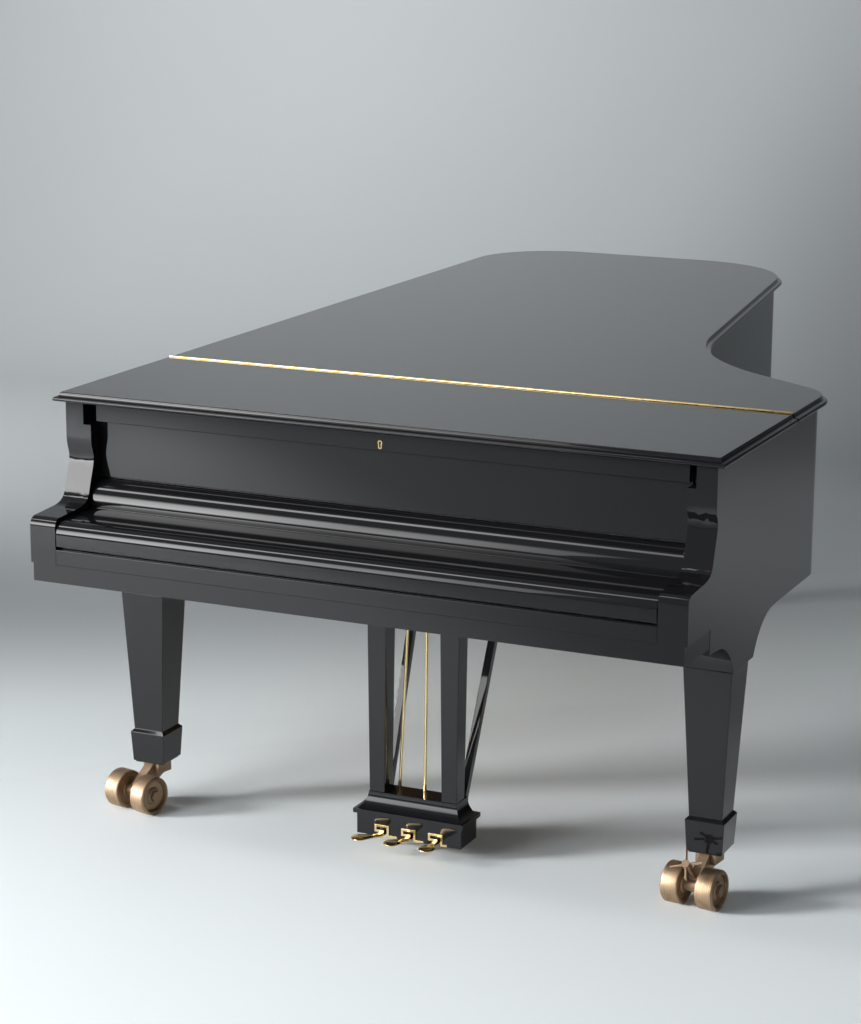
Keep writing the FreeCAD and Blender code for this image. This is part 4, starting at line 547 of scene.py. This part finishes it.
# Turned wheels
def wheel_profile():
    """(distance from the inner face, radius) round the section of a wheel, starting at its bore."""
    bore, tread, face = 0.0093, WHEEL_RADIUS, WHEEL_WIDE
    recess = 0.0025
    inner_round, outer_round = 0.004, 0.006
    lip, lip_wide, lip_tall = 0.0378, 0.0015, 0.0013
    dish, dish_edge, dish_round = 0.0085, 0.0330, 0.0015
    hub, hub_edge, hub_wide, hub_tall = 0.0065, 0.0160, 0.0024, 0.0025
    section = [(0.0, bore), (0.0, 0.0180), (recess, 0.0195), (recess, 0.0335), (0.0, 0.0360)]
    section += arc_points((inner_round, tread - inner_round), (inner_round, inner_round), 180, 90, 5)
    section += arc_points((face - outer_round, tread - outer_round), (outer_round, outer_round), 90, 0, 7)
    section.append((face, lip))
    section += arc_points((face - lip_wide, lip), (lip_wide, lip_tall), 0, -80, 3)
    section.append((face - dish, dish_edge + dish_round))
    section += arc_points((face - dish, dish_edge), (dish_round, dish_round), 100, 180, 3)
    section += [(face - dish - dish_round, 0.0215), (face - hub, hub_edge + hub_tall)]
    section += arc_points((face - hub, hub_edge), (hub_wide, hub_tall), 80, 0, 4)
    section.append((face - 0.0042, bore))
    return section


def add_wheels():
    profile = wheel_profile()
    count = 72
    up = Vector((0.0, 0.0, 1.0))
    for leg, (x, y, yaw) in LEGS.items():
        turn = Matrix.Rotation(math.radians(yaw), 3, "Z")
        for number, side in ((1, -1), (2, 1)):
            node = "wheel_%s_%d" % (leg, number)
            out = turn @ Vector((side, 0.0, 0.0))
            inner = Vector((side * (WHEEL_HALF_SPACE - WHEEL_WIDE / 2), -CASTER_TRAIL, WHEEL_RADIUS))
            start = Vector((x, y + FRONT, 0.0)) + turn @ inner
            ahead = up.cross(out)
            work = bmesh.new()
            axial = work.verts.layers.float.new("axial")
            rows = []
            for along, radius in profile:
                row = []
                for i in range(count):
                    angle = 2 * math.pi * i / count
                    spoke = ahead * math.cos(angle) + up * math.sin(angle)
                    vert = work.verts.new(start + out * along + spoke * radius)
                    vert[axial] = along
                    row.append(vert)
                rows.append(row)
            bridge(work, rows + rows[:1])
            bmesh.ops.recalc_face_normals(work, faces=work.faces)
            wheel = new_piece(node + "_finish", work, SLOT_OF[node], BODY_OF[node])
            finish_mesh(wheel)
            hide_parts(node)


# Spoon-shaped pedals
def pedal_ring(place, across, half, tall):
    """Points round a rounded rectangle, upright across the pedal."""
    count, wide_power, tall_power = 28, 0.7, 0.8
    ring = []
    for i in range(count):
        angle = 2 * math.pi * i / count
        wide, high = math.cos(angle), math.sin(angle)
        wide = math.copysign(abs(wide) ** wide_power, wide)
        high = math.copysign(abs(high) ** tall_power, high)
        ring.append(place + across * (half * wide) + Vector((0.0, 0.0, tall * high)))
    return ring


def add_pedals():
    """Each pedal is lofted through stops of (place, half width, half height): metres ahead of the neck for
    the straight rear, and shares of the way from neck to toe for the spoon."""
    neck_y, toe_y = FRONT + 0.334, FRONT + 0.286
    low, rise, toe_drop = 0.0355, 0.009, 0.004
    past_toe = 0.0206
    turned_by = 0.35
    rear = [(-0.090, 0.0090, 0.0044), (-0.050, 0.0090, 0.0044), (-0.038, 0.0090, 0.0065),
            (-0.026, 0.0090, 0.0044), (-0.004, 0.0088, 0.0044)]
    spoon = [(0.10, 0.0084, 0.0044), (0.35, 0.0088, 0.0044), (0.55, 0.0112, 0.0044), (0.72, 0.0150, 0.0043),
             (0.90, 0.0186, 0.0042), (1.05, 0.0199, 0.0040), (1.18, 0.0190, 0.0036), (1.29, 0.0158, 0.0031),
             (1.36, 0.0115, 0.0026), (1.405, 0.0065, 0.0019), (1.42, 0.0020, 0.0011)]
    tip = spoon[-1][0]
    straight = Vector((1.0, 0.0, 0.0))
    for node, (x, splay) in PEDALS.items():
        neck = Vector((x, neck_y, low))
        level = Vector((splay, toe_y - neck_y, 0.0))
        toe = level + Vector((0.0, 0.0, rise))
        ahead = level.normalized()
        side = Vector((-ahead.y, ahead.x, 0.0))
        scale = min(tip, 1.0 + past_toe / level.length) / tip
        rings = []
        for along, half, tall in rear:
            rings.append(pedal_ring(neck - Vector((0.0, along, 0.0)), straight, half, tall))
        for along, half, tall in spoon:
            share = along * scale
            place = neck + toe * share
            if share > 1.0:
                place.z = low + rise - toe_drop * (share - 1.0)
            across = straight.lerp(side, min(1.0, along / turned_by)).normalized()
            rings.append(pedal_ring(place, across, half, tall))
        pedal = skin(rings, node + "_finish", SLOT_OF[node], BODY_OF[node])
        smooth = pedal.modifiers.new("smooth", "SUBSURF")
        smooth.levels = smooth.render_levels = 1
        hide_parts(node)


def add_felt(name, node, near, far, low, high):
    """A strip of black felt across the keyboard's width, with softened long edges, on a node's body."""
    half, ease = 0.700, 0.0008
    rings = []
    for z, inset in ((low, ease), (low + ease, 0.0), (high - ease, 0.0), (high, ease)):
        front, rear = FRONT + near + inset, FRONT + far - inset
        rings.append([(-half, front, z), (half, front, z), (half, rear, z), (-half, rear, z)])
    skin(rings, name, "damper_felt", BODY_OF[node])


for node, obj in NODES.items():
    obj.data.materials.clear()
    obj.data.materials.append(MATERIALS[SLOT_OF[node]])

add_camera()
add_stage()
add_lights()
add_lid()
for width, nodes in EDGE_WIDTHS:
    for node in nodes:
        polished(node, width)
add_wheels()
add_pedals()
add_felt("fallboard_felt", "fallboard", near=0.0155, far=0.0190, low=0.7155, high=0.7240)
add_felt("nameboard_felt", "nameboard", near=0.1990, far=0.2130, low=0.8382, high=0.8420)
